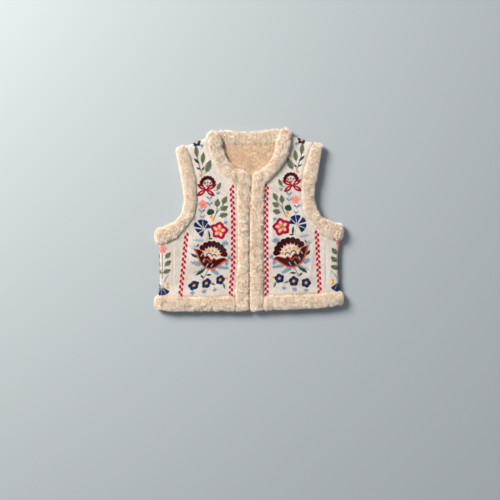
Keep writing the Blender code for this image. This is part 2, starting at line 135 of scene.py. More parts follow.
floor_mesh = bpy.data.meshes.new("floor")
half_floor = 0.5 * FLOOR_SIDE
floor_corners = [(-half_floor, -half_floor, 0.0), (half_floor, -half_floor, 0.0),
                 (half_floor, half_floor, 0.0), (-half_floor, half_floor, 0.0)]
floor_mesh.from_pydata(floor_corners, [], [(0, 1, 2, 3)])
floor = bpy.data.objects.new("floor", floor_mesh)
bpy.context.scene.collection.objects.link(floor)
plaster, plaster_tree, plaster_shader = new_material("pale matt plaster")
plaster_shader.inputs["Base Color"].default_value = linear("#9CA5AC")
plaster_shader.inputs["Roughness"].default_value = 0.85
floor_mesh.materials.append(plaster)


# Suede shells: each front with its side panel, and the back. The cloth is faux suede with
# pile bonded behind it, about 6 mm thick in all, and lies in two layers with soft creases.
VOXEL = 0.0021
SHELL_SMOOTHING = 5
SHELL_REST = 0.0002
SHELL_KEPT = 0.40
CREASED_FACING = 0.1
CREASED_SPAN = 0.5


def thick_copy(name, node_names, voxel, sewn=False):
    """One evenly meshed closed copy of CAD nodes, its seams closed by the remeshing. With
    sewn, wider seams between its bands are closed first."""
    bm = bmesh.new()
    starts = []
    for node_name in node_names:
        starts.append((len(bm.verts), node_name))
        bm.from_mesh(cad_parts[node_name].data)
    bm.verts.ensure_lookup_table()
    if sewn:
        close_seams(bm, starts)
    bmesh.ops.remove_doubles(bm, verts=bm.verts, dist=0.00001)
    mesh = bpy.data.meshes.new(name)
    bm.to_mesh(mesh)
    bm.free()
    thing = bpy.data.objects.new(name, mesh)
    bpy.context.scene.collection.objects.link(thing)
    remesh = thing.modifiers.new("remesh", "REMESH")
    remesh.mode = "VOXEL"
    remesh.voxel_size = voxel
    bake_modifiers(thing)
    return thing


def bake_modifiers(thing):
    """Swaps the object's mesh for its evaluated one and takes its modifiers off."""
    depsgraph = bpy.context.evaluated_depsgraph_get()
    baked = bpy.data.meshes.new_from_object(thing.evaluated_get(depsgraph))
    thing.modifiers.clear()
    spent = thing.data
    thing.data = baked
    bpy.data.meshes.remove(spent)


def thin_out(thing, share):
    """Keeps about this share of the object's triangles, most of them where it bends."""
    thing.modifiers.new("thin_out", "DECIMATE").ratio = share
    bake_modifiers(thing)


def points_of(mesh):
    """The mesh's vertices as an array with a row for each."""
    flat = np.empty(len(mesh.vertices) * 3)
    mesh.vertices.foreach_get("co", flat)
    return flat.reshape(-1, 3)


def set_points(mesh, points):
    mesh.vertices.foreach_set("co", np.ascontiguousarray(points, np.float64).ravel())
    mesh.update()


def normals_of(mesh):
    """The mesh's vertex normals as an array with a row for each."""
    flat = np.empty(len(mesh.vertices) * 3, np.float32)
    mesh.vertex_normals.foreach_get("vector", flat)
    return flat.reshape(-1, 3).astype(float)


def smooth_mesh(mesh, rounds):
    """Evens the mesh out: each round moves every point towards its neighbours' mean."""
    edges = np.empty(len(mesh.edges) * 2, np.int32)
    mesh.edges.foreach_get("vertices", edges)
    first, second = edges.reshape(-1, 2).T
    points = points_of(mesh)
    count = np.bincount(first, minlength=len(points)) + np.bincount(second, minlength=len(points))
    for _ in range(rounds):
        total = np.zeros_like(points)
        np.add.at(total, first, points[second])
        np.add.at(total, second, points[first])
        points = 0.5 * points + 0.5 * total / count[:, None]
    set_points(mesh, points)


def ease(value):
    value = np.clip(value, 0.0, 1.0)
    return value * value * (3.0 - 2.0 * value)


# The creases of each panel, in metres: from, to, half width, and height (below zero a
# trough). The back rests on the ground, so it has troughs only
CREASES = {
    "left": (
        (-0.190, -0.030, -0.150, -0.080, 0.007, -0.0009),
        (-0.150, -0.060, -0.120, -0.150, 0.008, 0.0008),
        (-0.215, -0.080, -0.205, -0.150, 0.006, 0.0008),
        (-0.120, 0.170, -0.105, 0.080, 0.009, -0.0007),
        (-0.066, 0.060, -0.062, -0.020, 0.006, 0.0006),
        (-0.080, -0.150, -0.150, -0.175, 0.010, -0.0007),
        (-0.140, 0.120, -0.120, 0.060, 0.007, 0.0006),
        (-0.196, -0.060, -0.196, -0.180, 0.0035, -0.0012),
    ),
    "right": (
        (0.186, -0.045, 0.140, -0.075, 0.008, -0.0010),
        (0.170, -0.060, 0.150, -0.170, 0.009, 0.0009),
        (0.214, -0.075, 0.207, -0.165, 0.006, 0.0009),
        (0.137, 0.180, 0.118, 0.090, 0.008, -0.0008),
        (0.062, 0.040, 0.058, -0.060, 0.006, 0.0006),
        (0.090, -0.165, 0.165, -0.180, 0.009, -0.0008),
        (0.198, -0.060, 0.199, -0.185, 0.0035, -0.0014),
    ),
    "back": (
        (-0.150, 0.150, -0.060, 0.110, 0.010, -0.0010),
        (0.165, 0.140, 0.100, 0.060, 0.009, -0.0009),
        (-0.190, -0.010, -0.120, -0.050, 0.011, -0.0011),
        (-0.040, 0.060, -0.055, -0.060, 0.007, -0.0007),
        (0.060, 0.020, 0.085, -0.120, 0.009, -0.0009),
        (0.195, -0.060, 0.140, -0.130, 0.008, -0.0010),
        (-0.130, -0.110, -0.020, -0.150, 0.012, -0.0008),
    ),
}


def crease_height(points, rows):
    """How far each point lies above the plain cloth, or below it, in all the creases."""
    total = np.zeros(len(points))
    for from_x, from_y, to_x, to_y, half_width, height in rows:
        start = np.array((from_x, from_y))
        along = np.array((to_x - from_x, to_y - from_y))
        offset = points[:, :2] - start
        share = offset @ along / (along @ along)
        aside = np.hypot(*(offset - share[:, None] * along).T)
        bump = height * ease(3.0 * share) * ease(3.0 * (1.0 - share))
        total += bump * (1.0 - ease(aside / half_width))
    return total


suede, suede_tree, suede_shader = new_material("brushed faux suede")
# Brushed faux suede: a warm white knit whose nap lies in soft lighter and darker strokes
SUEDE_PATCH_MM = 38.0
SUEDE_STROKE_MM = 5.0
SUEDE_NAP_MM = 0.9
suede_place = add_node(suede_tree, "ShaderNodeTexCoord").outputs["Object"]
suede_patch = add_node(suede_tree, "ShaderNodeTexNoise", {
    "Vector": suede_place, "Scale": 1000.0 / SUEDE_PATCH_MM, "Detail": 3.0, "Roughness": 0.55})
suede_stretch = add_node(suede_tree, "ShaderNodeMapping", {
    "Vector": suede_place, "Scale": (1.0, 0.45, 1.0), "Rotation": (0.0, 0.0, 0.3)})
suede_stroke = add_node(suede_tree, "ShaderNodeTexNoise", {
    "Vector": suede_stretch.outputs["Vector"], "Scale": 1000.0 / SUEDE_STROKE_MM,
    "Detail": 4.0, "Roughness": 0.65})
suede_nap = add_node(suede_tree, "ShaderNodeTexNoise", {
    "Vector": suede_place, "Scale": 1000.0 / SUEDE_NAP_MM, "Detail": 3.0, "Roughness": 0.7})
suede_sum = add_node(suede_tree, "ShaderNodeMath", {
    0: suede_patch.outputs["Fac"], 1: suede_stroke.outputs["Fac"]}, operation="ADD")
suede_share = add_node(suede_tree, "ShaderNodeMapRange", {
    "Value": suede_sum.outputs["Value"], "From Min": 0.75, "From Max": 1.25})
suede_ramp = add_node(suede_tree, "ShaderNodeValToRGB", {
    "Fac": suede_share.outputs["Result"]})
suede_ramp.color_ramp.elements[0].color = linear("#AFA59C")
suede_ramp.color_ramp.elements[1].color = linear("#C6C0BB")
middle_stop = suede_ramp.color_ramp.elements.new(0.5)
middle_stop.color = linear("#BAB3AC")
suede_height = add_node(suede_tree, "ShaderNodeMath", {
    0: suede_nap.outputs["Fac"], 1: suede_stroke.outputs["Fac"]}, operation="ADD")
suede_bump = add_node(suede_tree, "ShaderNodeBump", {
    "Height": suede_height.outputs["Value"], "Strength": 0.35, "Distance": 0.0006})
suede_tree.links.new(suede_ramp.outputs["Color"], suede_shader.inputs["Base Color"])
suede_tree.links.new(suede_bump.outputs["Normal"], suede_shader.inputs["Normal"])
suede_shader.inputs["Roughness"].default_value = 0.92
suede_shader.inputs["Sheen Weight"].default_value = 0.25
suede_shader.inputs["Sheen Roughness"].default_value = 0.5

# The edge of each panel is tucked this far under a fur band within reach of it
TUCK = 0.0034
TUCK_REACH = 0.0070
TUCK_FULL_SHARE = 0.3
EDGE_FACING = 0.9
TRIM_NODES = ("collar", "front_band_left", "front_band_right", "armhole_band_left",
              "armhole_band_right", "hem_band")


def joined_tree(things):
    """A search tree over the meshes of several objects together."""
    vertices = []
    faces = []
    for thing in things:
        start = len(vertices)
        vertices += [vertex.co.copy() for vertex in thing.data.vertices]
        faces += [[start + index for index in face.vertices] for face in thing.data.polygons]
    return BVHTree.FromPolygons(vertices, faces)


trim_tree = joined_tree([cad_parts[name] for name in TRIM_NODES])
shells = {}


def tuck_edges(mesh):
    """Moves the panel's edges outwards where a fur band lies beside them."""
    points = points_of(mesh)
    normals = normals_of(mesh)
    for index in np.flatnonzero(np.abs(normals[:, 2]) < EDGE_FACING):
        gap = trim_tree.find_nearest(Vector(points[index]), TUCK_REACH)[3]
        if gap is not None:
            near = 1.0 - float(ease(gap / TUCK_REACH - TUCK_FULL_SHARE))
            points[index, :2] += normals[index, :2] * TUCK * near
    set_points(mesh, points)


def make_shell(name, node_names, rows, outside):
    """A panel with its creases. outside is 1 where its suede faces up, -1 where down."""
    thing = thick_copy(name, node_names, VOXEL)
    smooth_mesh(thing.data, SHELL_SMOOTHING)
    tuck_edges(thing.data)
    points = points_of(thing.data)
    share = ease((outside * normals_of(thing.data)[:, 2] - CREASED_FACING) / CREASED_SPAN)
    points[:, 2] += share * outside * crease_height(points, rows)
    points[:, 2] = np.maximum(points[:, 2], SHELL_REST)
    set_points(thing.data, points)
    thin_out(thing, SHELL_KEPT)
    thing.data.shade_smooth()
    thing.data.materials.clear()
    thing.data.materials.append(suede)
    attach(thing, "root")
    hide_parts(*node_names)
    shells[name] = thing
    return thing


for word in ("left", "right"):
    shell = make_shell("suede_front_" + word, ("front_" + word, "side_" + word),
                       CREASES[word], 1.0)
back_shell = make_shell("suede_back", ("back",), CREASES["back"], -1.0)

# Fur bands: strips of cream plush faux fur, sewn on and turned over every edge. Each band is
# a padded backing, a little inside its CAD solid, that carries a dense pile of leaning tufts.
BACKING_VOXEL = 0.0018
BACKING_FIRST_SMOOTHING = 2
BACKING_SINK = 0.0025
BACKING_SMOOTHING = 20
BACKING_KEPT = 0.40
PILE_LENGTH = 0.0066
PILE_LENGTH_RANGE = (0.75, 1.15)
CLUMP_LENGTH_RANGE = (0.70, 1.25)
TUFT_WIDTH = 0.0009
PILE_DENSITY = 1500000.0
PILE_LEAN = 0.50
PILE_SWIRL = 0.85
PILE_SWIRL_MM = 15.0
PILE_STRAY = 0.22
PILE_FLOOR = 0.0002
TURN_SEED = 7
LENGTH_SEED = 11
TONE_SEED = 3
FUR_PATCH_MM = 24.0
FUR_CLUMP_MM = 7.0
FUR_FLECK_MM = 2.2
# Shares of the full density between the layers and on the ground, where the pile is hidden,
# the heights that part the layers, and how much tan painted shade the inside of the collar gets
HIDDEN_COVER = 0.12
GROUND_COVER = 0.25
FLAT_FACING = 0.4
UNDER_LAYER_TOP = 0.0125
UNDER_LAYER_FADE = 0.002
INSIDE_LEVEL = 0.0100
COLLAR_INSIDE_SHADE = 0.18
COLLAR_FACING = 0.1


def make_fur_material(name, strand):
    """Cream plush: tan at the roots, pale at the tips. Every tuft has its own tone, the
    whole has soft patches, and where the inside of the gilet shows in the neck it is darkened with
    a tan painted shade."""
    material, tree, shader = new_material(name)
    place = add_node(tree, "ShaderNodeTexCoord").outputs["Object"]
    patch = add_node(tree, "ShaderNodeTexNoise", {
        "Vector": place, "Scale": 1000.0 / FUR_PATCH_MM, "Detail": 4.0, "Roughness": 0.6})
    fleck = add_node(tree, "ShaderNodeTexNoise", {
        "Vector": place, "Scale": 1000.0 / FUR_FLECK_MM, "Detail": 3.0, "Roughness": 0.7})
    inside_painted_shade = add_node(tree, "ShaderNodeAttribute", attribute_name="inside_painted_shade")
    if strand:
        along = add_node(tree, "ShaderNodeAttribute", attribute_name="along").outputs["Fac"]
        tone = add_node(tree, "ShaderNodeAttribute", attribute_name="tone").outputs["Fac"]
    else:
        along = fleck.outputs["Fac"]
        tone = fleck.outputs["Fac"]
    outer_ramp = add_node(tree, "ShaderNodeValToRGB", {"Fac": along})
    outer_ramp.color_ramp.elements[0].color = linear("#F8E9D6")
    outer_ramp.color_ramp.elements[1].color = linear("#FFFBF4")
    outer_ramp.color_ramp.elements.new(0.45).color = linear("#FFF0DE")
    # The inside ramp is a darker, tan copy of the same plush: painted shade for the inside seen in
    # the neck
    inside_shade_ramp = add_node(tree, "ShaderNodeValToRGB", {"Fac": along})
    inside_shade_ramp.color_ramp.elements[0].color = linear("#EFD6B9")
    inside_shade_ramp.color_ramp.elements[1].color = linear("#FFF1E0")
    inside_shade_ramp.color_ramp.elements.new(0.45).color = linear("#FAE3C9")
    # Mixes in the painted shade of the inside by its attribute
    side = add_node(tree, "ShaderNodeMix", {
        0: inside_painted_shade.outputs["Fac"], 6: outer_ramp.outputs["Color"],
        7: inside_shade_ramp.outputs["Color"]}, data_type="RGBA")
    tan = add_node(tree, "ShaderNodeMix", {
        6: side.outputs[2], 7: linear("#DDB186")}, data_type="RGBA", blend_type="MULTIPLY")
    tan_share = add_node(tree, "ShaderNodeMapRange", {
        "Value": patch.outputs["Fac"], "From Min": 0.48, "From Max": 0.72, "To Max": 0.28})
    tree.links.new(tan_share.outputs["Result"], tan.inputs[0])
    clump = add_node(tree, "ShaderNodeTexNoise", {
        "Vector": place, "Scale": 1000.0 / FUR_CLUMP_MM, "Detail": 3.0, "Roughness": 0.6})
    clump_light = add_node(tree, "ShaderNodeMapRange", {
        "Value": clump.outputs["Fac"], "From Min": 0.35, "From Max": 0.65,
        "To Min": 0.90, "To Max": 1.05})
    tuft_light = add_node(tree, "ShaderNodeMapRange", {
        "Value": tone, "To Min": 0.94, "To Max": 1.05})
    light = add_node(tree, "ShaderNodeMath", {
        0: clump_light.outputs["Result"], 1: tuft_light.outputs["Result"]}, operation="MULTIPLY")
    final = add_node(tree, "ShaderNodeHueSaturation", {
        "Value": light.outputs["Value"], "Color": tan.outputs[2]})
    tree.links.new(final.outputs["Color"], shader.inputs["Base Color"])
    if not strand:
        bump = add_node(tree, "ShaderNodeBump", {
            "Height": fleck.outputs["Fac"], "Strength": 0.8, "Distance": 0.0015})
        tree.links.new(bump.outputs["Normal"], shader.inputs["Normal"])
    shader.inputs["Roughness"].default_value = 0.95
    shader.inputs["Specular IOR Level"].default_value = 0.2
    shader.inputs["Sheen Weight"].default_value = 0.35
    shader.inputs["Sheen Roughness"].default_value = 0.4
    return material


fur_strands = make_fur_material("plush faux fur pile", True)
fur_backing = make_fur_material("plush faux fur backing", False)

# One tuft: a flat tapered blade of unit height that bends over towards its tip
TUFT_LEVELS = ((0.0, 0.50, 0.00), (0.55, 0.40, 0.10), (1.0, 0.0, 0.34))

tuft_points = []
tuft_along = []
for height, half, bend in TUFT_LEVELS[:-1]:
    tuft_points += [(-half, bend, height), (half, bend, height)]
    tuft_along += [height, height]
tuft_points.append((0.0, TUFT_LEVELS[-1][2], 1.0))
tuft_along.append(1.0)
tuft_mesh = bpy.data.meshes.new("tuft")
tuft_mesh.from_pydata(tuft_points, [], [(0, 1, 3, 2), (2, 3, 4)])
tuft_mesh.attributes.new("along", "FLOAT", "POINT").data.foreach_set("value", tuft_along)
tuft_mesh.shade_smooth()
tuft = bpy.data.objects.new("tuft", tuft_mesh)
bpy.context.scene.collection.objects.link(tuft)


def add_input(tree, name, kind):
    return tree.interface.new_socket(name=name, in_out="INPUT", socket_type=kind)


def build_pile_tree():
    """Tufts set at random over a backing, each leaning with the nap and a slow swirl."""
    tree = bpy.data.node_groups.new("pile", "GeometryNodeTree")
    add_input(tree, "Backing", "NodeSocketGeometry")
    for name in ("Density", "Length", "Width", "Lean", "Swirl", "Swirl size", "Lowest"):
        add_input(tree, name, "NodeSocketFloat")
    add_input(tree, "Seed", "NodeSocketInt")
    add_input(tree, "Tuft", "NodeSocketObject")
    add_input(tree, "Finish", "NodeSocketMaterial")
    tree.interface.new_socket(name="Pile", in_out="OUTPUT", socket_type="NodeSocketGeometry")
    given = add_node(tree, "NodeGroupInput").outputs
    cover = add_node(tree, "GeometryNodeInputNamedAttribute", {"Name": "cover"},
                     data_type="FLOAT")
    density = add_node(tree, "ShaderNodeMath", {
        0: given["Density"], 1: cover.outputs["Attribute"]}, operation="MULTIPLY")
    spread = add_node(tree, "GeometryNodeDistributePointsOnFaces", {
        "Mesh": given["Backing"], "Density": density.outputs["Value"],
        "Seed": given["Seed"]}, distribute_method="RANDOM")
    nap = add_node(tree, "GeometryNodeInputNamedAttribute", {"Name": "nap"},
                   data_type="FLOAT_VECTOR")
    leaning = add_node(tree, "ShaderNodeVectorMath", {
        0: nap.outputs["Attribute"], "Scale": given["Lean"]}, operation="SCALE")
    upright = add_node(tree, "ShaderNodeMath", {
        0: 1.0, 1: given["Lean"]}, operation="SUBTRACT")
    standing = add_node(tree, "ShaderNodeVectorMath", {
        0: spread.outputs["Normal"], "Scale": upright.outputs["Value"]}, operation="SCALE")
    fineness = add_node(tree, "ShaderNodeMath", {
        0: 1.0, 1: given["Swirl size"]}, operation="DIVIDE")
    noise = add_node(tree, "ShaderNodeTexNoise", {
        "Scale": fineness.outputs["Value"], "Detail": 2.0})
    centred = add_node(tree, "ShaderNodeVectorMath", {
        0: noise.outputs["Color"], 1: (0.5, 0.5, 0.5)}, operation="SUBTRACT")
    swirl = add_node(tree, "ShaderNodeVectorMath", {
        0: centred.outputs["Vector"], "Scale": given["Swirl"]}, operation="SCALE")
    stray = add_node(tree, "FunctionNodeRandomValue", {
        0: (-PILE_STRAY,) * 3, 1: (PILE_STRAY,) * 3, "Seed": given["Seed"]},
        data_type="FLOAT_VECTOR")
    total = leaning.outputs["Vector"]
    for part in (standing.outputs["Vector"], swirl.outputs["Vector"], stray.outputs["Value"]):
        total = add_node(tree, "ShaderNodeVectorMath", {0: total, 1: part}).outputs["Vector"]
    aimed = add_node(tree, "FunctionNodeAlignRotationToVector", {"Vector": total}, axis="Z")
    turn = add_node(tree, "FunctionNodeRandomValue", {
        2: -math.pi, 3: math.pi, "ID": add_node(tree, "GeometryNodeInputID").outputs["ID"],
        "Seed": TURN_SEED}, data_type="FLOAT")
    spin = add_node(tree, "FunctionNodeAxisAngleToRotation", {
        "Axis": (0.0, 0.0, 1.0), "Angle": turn.outputs[1]})
    turned = add_node(tree, "FunctionNodeRotateRotation", {
        "Rotation": aimed.outputs["Rotation"], "Rotate By": spin.outputs["Rotation"]},
        rotation_space="LOCAL")
    length = add_node(tree, "FunctionNodeRandomValue", {
        2: PILE_LENGTH_RANGE[0], 3: PILE_LENGTH_RANGE[1], "Seed": LENGTH_SEED},
        data_type="FLOAT")
    clump = add_node(tree, "ShaderNodeMapRange", {
        "Value": noise.outputs["Fac"], "From Min": 0.3, "From Max": 0.7,
        "To Min": CLUMP_LENGTH_RANGE[0], "To Max": CLUMP_LENGTH_RANGE[1]})
    even = add_node(tree, "ShaderNodeMath", {
        0: given["Length"], 1: length.outputs[1]}, operation="MULTIPLY")
    height = add_node(tree, "ShaderNodeMath", {
        0: even.outputs["Value"], 1: clump.outputs["Result"]}, operation="MULTIPLY")
    size = add_node(tree, "ShaderNodeCombineXYZ", {
        "X": given["Width"], "Y": height.outputs["Value"], "Z": height.outputs["Value"]})
    shape = add_node(tree, "GeometryNodeObjectInfo", {"Object": given["Tuft"]})
    placed = add_node(tree, "GeometryNodeInstanceOnPoints", {
        "Points": spread.outputs["Points"], "Instance": shape.outputs["Geometry"],
        "Rotation": turned.outputs["Rotation"], "Scale": size.outputs["Vector"]})
    tone = add_node(tree, "FunctionNodeRandomValue", {"Seed": TONE_SEED}, data_type="FLOAT")
    toned = add_node(tree, "GeometryNodeStoreNamedAttribute", {
        "Geometry": placed.outputs["Instances"], "Name": "tone", "Value": tone.outputs[1]},
        data_type="FLOAT", domain="INSTANCE")
    real = add_node(tree, "GeometryNodeRealizeInstances", {
        "Geometry": toned.outputs["Geometry"]})
    where = add_node(tree, "GeometryNodeInputPosition").outputs["Position"]
    parts = add_node(tree, "ShaderNodeSeparateXYZ", {"Vector": where})
    kept = add_node(tree, "ShaderNodeMath", {
        0: parts.outputs["Z"], 1: given["Lowest"]}, operation="MAXIMUM")
    joined = add_node(tree, "ShaderNodeCombineXYZ", {
        "X": parts.outputs["X"], "Y": parts.outputs["Y"], "Z": kept.outputs["Value"]})
    pressed = add_node(tree, "GeometryNodeSetPosition", {
        "Geometry": real.outputs["Geometry"], "Position": joined.outputs["Vector"]})
    finished = add_node(tree, "GeometryNodeSetMaterial", {
        "Geometry": pressed.outputs["Geometry"], "Material": given["Finish"]})
    add_node(tree, "NodeGroupOutput", {"Pile": finished.outputs["Geometry"]})
    return tree


pile_tree = build_pile_tree()


def run_tree(thing, tree, values):
    """Runs a node tree on the object's mesh, with its named inputs set, and bakes it."""
    modifier = thing.modifiers.new(tree.name, "NODES")
    modifier.node_group = tree
    for item in tree.interface.items_tree:
        if item.in_out == "INPUT" and item.name in values:
            modifier[item.identifier] = values[item.name]
    bake_modifiers(thing)


def grow_pile(name, backing, seed, **sizes):
    """A mesh of tufts over the backing, made by the pile tree with the sizes given."""
    mesh = backing.data.copy()
    thing = bpy.data.objects.new(name, mesh)
    bpy.context.scene.collection.objects.link(thing)
    values = {
        "Density": PILE_DENSITY, "Length": PILE_LENGTH, "Width": TUFT_WIDTH,
        "Lean": PILE_LEAN, "Swirl": PILE_SWIRL, "Swirl size": PILE_SWIRL_MM / 1000.0,
        "Lowest": PILE_FLOOR, "Seed": seed, "Tuft": tuft, "Finish": fur_strands,
    }
    values.update(sizes)
    run_tree(thing, pile_tree, values)
    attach(thing, "root")
    return thing


def store(mesh, name, kind, values):
    """Writes a value for each vertex into an attribute of the mesh."""
    field = {"FLOAT": "value", "FLOAT_VECTOR": "vector"}[kind]
    layer = mesh.attributes.new(name, kind, "POINT")
    layer.data.foreach_set(field, np.ascontiguousarray(values, np.float32).ravel())


def mark_pile(mesh, cover, inside_painted_shade):
    """Stores how thickly the pile grows, how much painted shade it gets on the inside, and which
    way it leans.
    """
    normals = normals_of(mesh)
    nap = np.tile((0.0, -1.0, 0.0), (len(normals), 1))
    nap -= normals * (nap * normals).sum(1)[:, None]
    store(mesh, "cover", "FLOAT", cover)
    store(mesh, "inside_painted_shade", "FLOAT", inside_painted_shade)
    store(mesh, "nap", "FLOAT_VECTOR", nap)


def band_cover(points, normals, shows_inside):
    """1 where the pile can be seen, less between the layers and on the ground."""
    cover = np.ones(len(points))
    facing_down = normals[:, 2] < -FLAT_FACING
    between = facing_down & (points[:, 2] > INSIDE_LEVEL)
    if not shows_inside:
        between |= (normals[:, 2] > FLAT_FACING) & (points[:, 2] < UNDER_LAYER_TOP)
    cover[between] = HIDDEN_COVER
    cover[facing_down & (points[:, 2] <= INSIDE_LEVEL)] = GROUND_COVER
    return cover


# The backings, and the bands in each: the collar is sewn flat to both front bands, so these
# three make one
BACKINGS = {
    "collar_and_fronts": ("collar", "front_band_left", "front_band_right"),
    "armhole_left": ("armhole_band_left",),
    "armhole_right": ("armhole_band_right",),
    "hem": ("hem_band",),
}
# Bands that lie this near to each other are sewn together; their edges overlap by this much
SEWN_GAP = 0.0026
SEWN_OVERLAP = 0.0015


def close_seams(bm, starts):
    """Lets the ends of the first band of a backing into the other bands beside it."""
    for start, node_name in starts[1:]:
        tree = joined_tree([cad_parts[node_name]])
        for vert in bm.verts[:starts[1][0]]:
            place, normal, index, gap = tree.find_nearest(vert.co, SEWN_GAP)
            if place is not None:
                vert.co += (place - vert.co).normalized() * (gap + SEWN_OVERLAP)


# The corners of the bands that turn round the side folds are drawn in: the y of each band's
# middle in the even pattern, and its half width there. Rows rise to the right by LAY_SKEW
BAND_ENDS = {"armhole_left": (-0.0385, 0.0210), "armhole_right": (-0.0385, 0.0210),
             "hem": (-0.2098, 0.0180)}
LAY_SKEW = 0.024
END_FROM_X = 0.208
END_TO_X = 0.232
END_ROUNDING = 0.0065


def round_ends(points, middle_y, half_width):
    """Draws a band's corners in towards its middle line where it turns the side fold."""
    off = (points[:, 1] - LAY_SKEW * points[:, 0] - middle_y) / half_width
    share = ease((np.abs(points[:, 0]) - END_FROM_X) / (END_TO_X - END_FROM_X))
    pull = END_ROUNDING * share * np.clip(np.abs(off), 0.0, 1.0) ** 3
    points[:, 0] -= np.sign(points[:, 0]) * pull


for seed, (word, node_names) in enumerate(BACKINGS.items()):
    has_collar = "collar" in node_names
    backing = thick_copy(word + "_backing", node_names, BACKING_VOXEL, has_collar)
    smooth_mesh(backing.data, BACKING_FIRST_SMOOTHING)
    points = points_of(backing.data) - normals_of(backing.data) * BACKING_SINK
    if word in BAND_ENDS:
        round_ends(points, *BAND_ENDS[word])
    set_points(backing.data, points)
    smooth_mesh(backing.data, BACKING_SMOOTHING)
    thin_out(backing, BACKING_KEPT)
    points = points_of(backing.data)
    normals = normals_of(backing.data)
    inside_painted_shade = np.zeros(len(points))
    if has_collar:
        # The collar's up-facing inside, below the top layer, is darkened with tan painted shade
        inside_painted_shade = COLLAR_INSIDE_SHADE * ease((normals[:, 2] - COLLAR_FACING) / FLAT_FACING)
        inside_painted_shade *= ease((UNDER_LAYER_TOP - points[:, 2]) / UNDER_LAYER_FADE)
    mark_pile(backing.data, band_cover(points, normals, has_collar), inside_painted_shade)
    backing.data.shade_smooth()
    backing.data.materials.clear()
    backing.data.materials.append(fur_backing)
    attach(backing, "root")
    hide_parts(*node_names)
    grow_pile(word + "_pile", backing, seed)

# Lining: the pile side of the back, seen through the neck. It is the same plush as the
# bands, bonded to the back of the suede and clipped shorter, so it grows from the shell
# of the back. Where no one can see it, the lining is the plain backing
LINING_BOX = (-0.085, 0.100, 0.085, 0.205)
LINING_LENGTH = 0.0048
LINING_SEED = 20
LINING_FACING = 0.6
PAINTED_FACING = 0.5

back_points = points_of(back_shell.data)
back_normals = normals_of(back_shell.data)
low_x, low_y, high_x, high_y = LINING_BOX
in_neck = (back_points[:, 0] > low_x) & (back_points[:, 0] < high_x)
in_neck &= (back_points[:, 1] > low_y) & (back_points[:, 1] < high_y)
facing_up = back_normals[:, 2] > LINING_FACING
# The whole lining and the backing on the back take the full tan painted shade of the inside
mark_pile(back_shell.data, (in_neck & facing_up).astype(float), np.ones(len(back_points)))
back_shell.data.materials.append(fur_backing)
for face in back_shell.data.polygons:
    if face.normal.z > PAINTED_FACING:
        face.material_index = 1
grow_pile("back_lining_pile", back_shell, LINING_SEED, Length=LINING_LENGTH)
bpy.data.objects.remove(tuft)

# Embroidery: folk flowers and leaves in satin stitch, worked on the fronts, over the shoulders
# and round the sides. Rayon thread, each stitch laid flat from edge to edge of its shape. A
# real thread is 0.4 mm thick; here it is a little over twice as thick, so that it shows.
THREAD_RADIUS = 0.00047
THREAD_SIDES = 4
STITCH_SPACING_MM = 0.82
LONGEST_STITCH_MM = 8.5
STITCH_STEPS = 2
STITCH_ARCH = 0.00040
STITCH_REST = 0.00016
END_JITTER_MM = 0.22
SHORT_ARCH_SHARE = 0.35
STITCH_TONES = (0.78, 1.00)
THREADS = {
    "raspberry": "#BC1040", "crimson": "#A00A30", "burgundy": "#3C0410", "pink": "#E6929C",
    "rose": "#CE5F76", "sage": "#6D7861", "moss": "#454F3B", "pine": "#1A4434",
    "navy": "#122B5C", "sky": "#7896B0", "mist": "#A4B8C8", "amber": "#E59E33",
    "ochre": "#AE722D", "rust": "#BC5A3A", "cream": "#F4E9DA",
}

# How the cloth lies, as the CAD has it: rows rise to the right, the front edges lean, and
# the left front is drawn over towards the middle
LEAN = 0.0050
LEAN_FROM = 0.015
LEAN_MOST = 0.105
LEAN_END = 0.190
LEAN_REACH = 0.110
DRAW = 0.0065
DRAW_MOST_X = 0.036
DRAW_END_X = 0.120
DRAW_FROM_Y = -0.185
DRAW_MOST_Y = -0.110
DRAW_FADE_Y = 0.005
DRAW_END_Y = 0.090
TURN_RADIUS = 0.0079
RAY_HEIGHT = 0.1
CLOTH_TOP = 0.015
SIDE_TURN_X = 0.2266
SHOULDER_NECK = Vector((0.1118, 0.2132))
SHOULDER_TIP = Vector((0.1628, 0.1935))
shoulder_along = (SHOULDER_TIP - SHOULDER_NECK).normalized()
shoulder_outward = Vector((-shoulder_along.y, shoulder_along.x))
shell_tree = joined_tree(shells.values())


def laid(x, y):
    """The place on the ground of a point of the even pattern."""
    rise = float(ease((y - LEAN_FROM) / (LEAN_MOST - LEAN_FROM)))
    fall = 1.0 - float(ease((y - LEAN_MOST) / (LEAN_END - LEAN_MOST)))
    shift = LEAN * rise * fall * (1.0 - float(ease(abs(x) / LEAN_REACH)))
    if x < 0.0:
        near = float(ease(-x / DRAW_MOST_X))
        far = float(ease((-x - DRAW_MOST_X) / (DRAW_END_X - DRAW_MOST_X)))
        up = float(ease((y - DRAW_FROM_Y) / (DRAW_MOST_Y - DRAW_FROM_Y)))
        neck = float(ease((y - DRAW_FADE_Y) / (DRAW_END_Y - DRAW_FADE_Y)))
        shift += DRAW * near * (1.0 - far) * up * (1.0 - neck)
    x += shift
    return x, y + LAY_SKEW * x


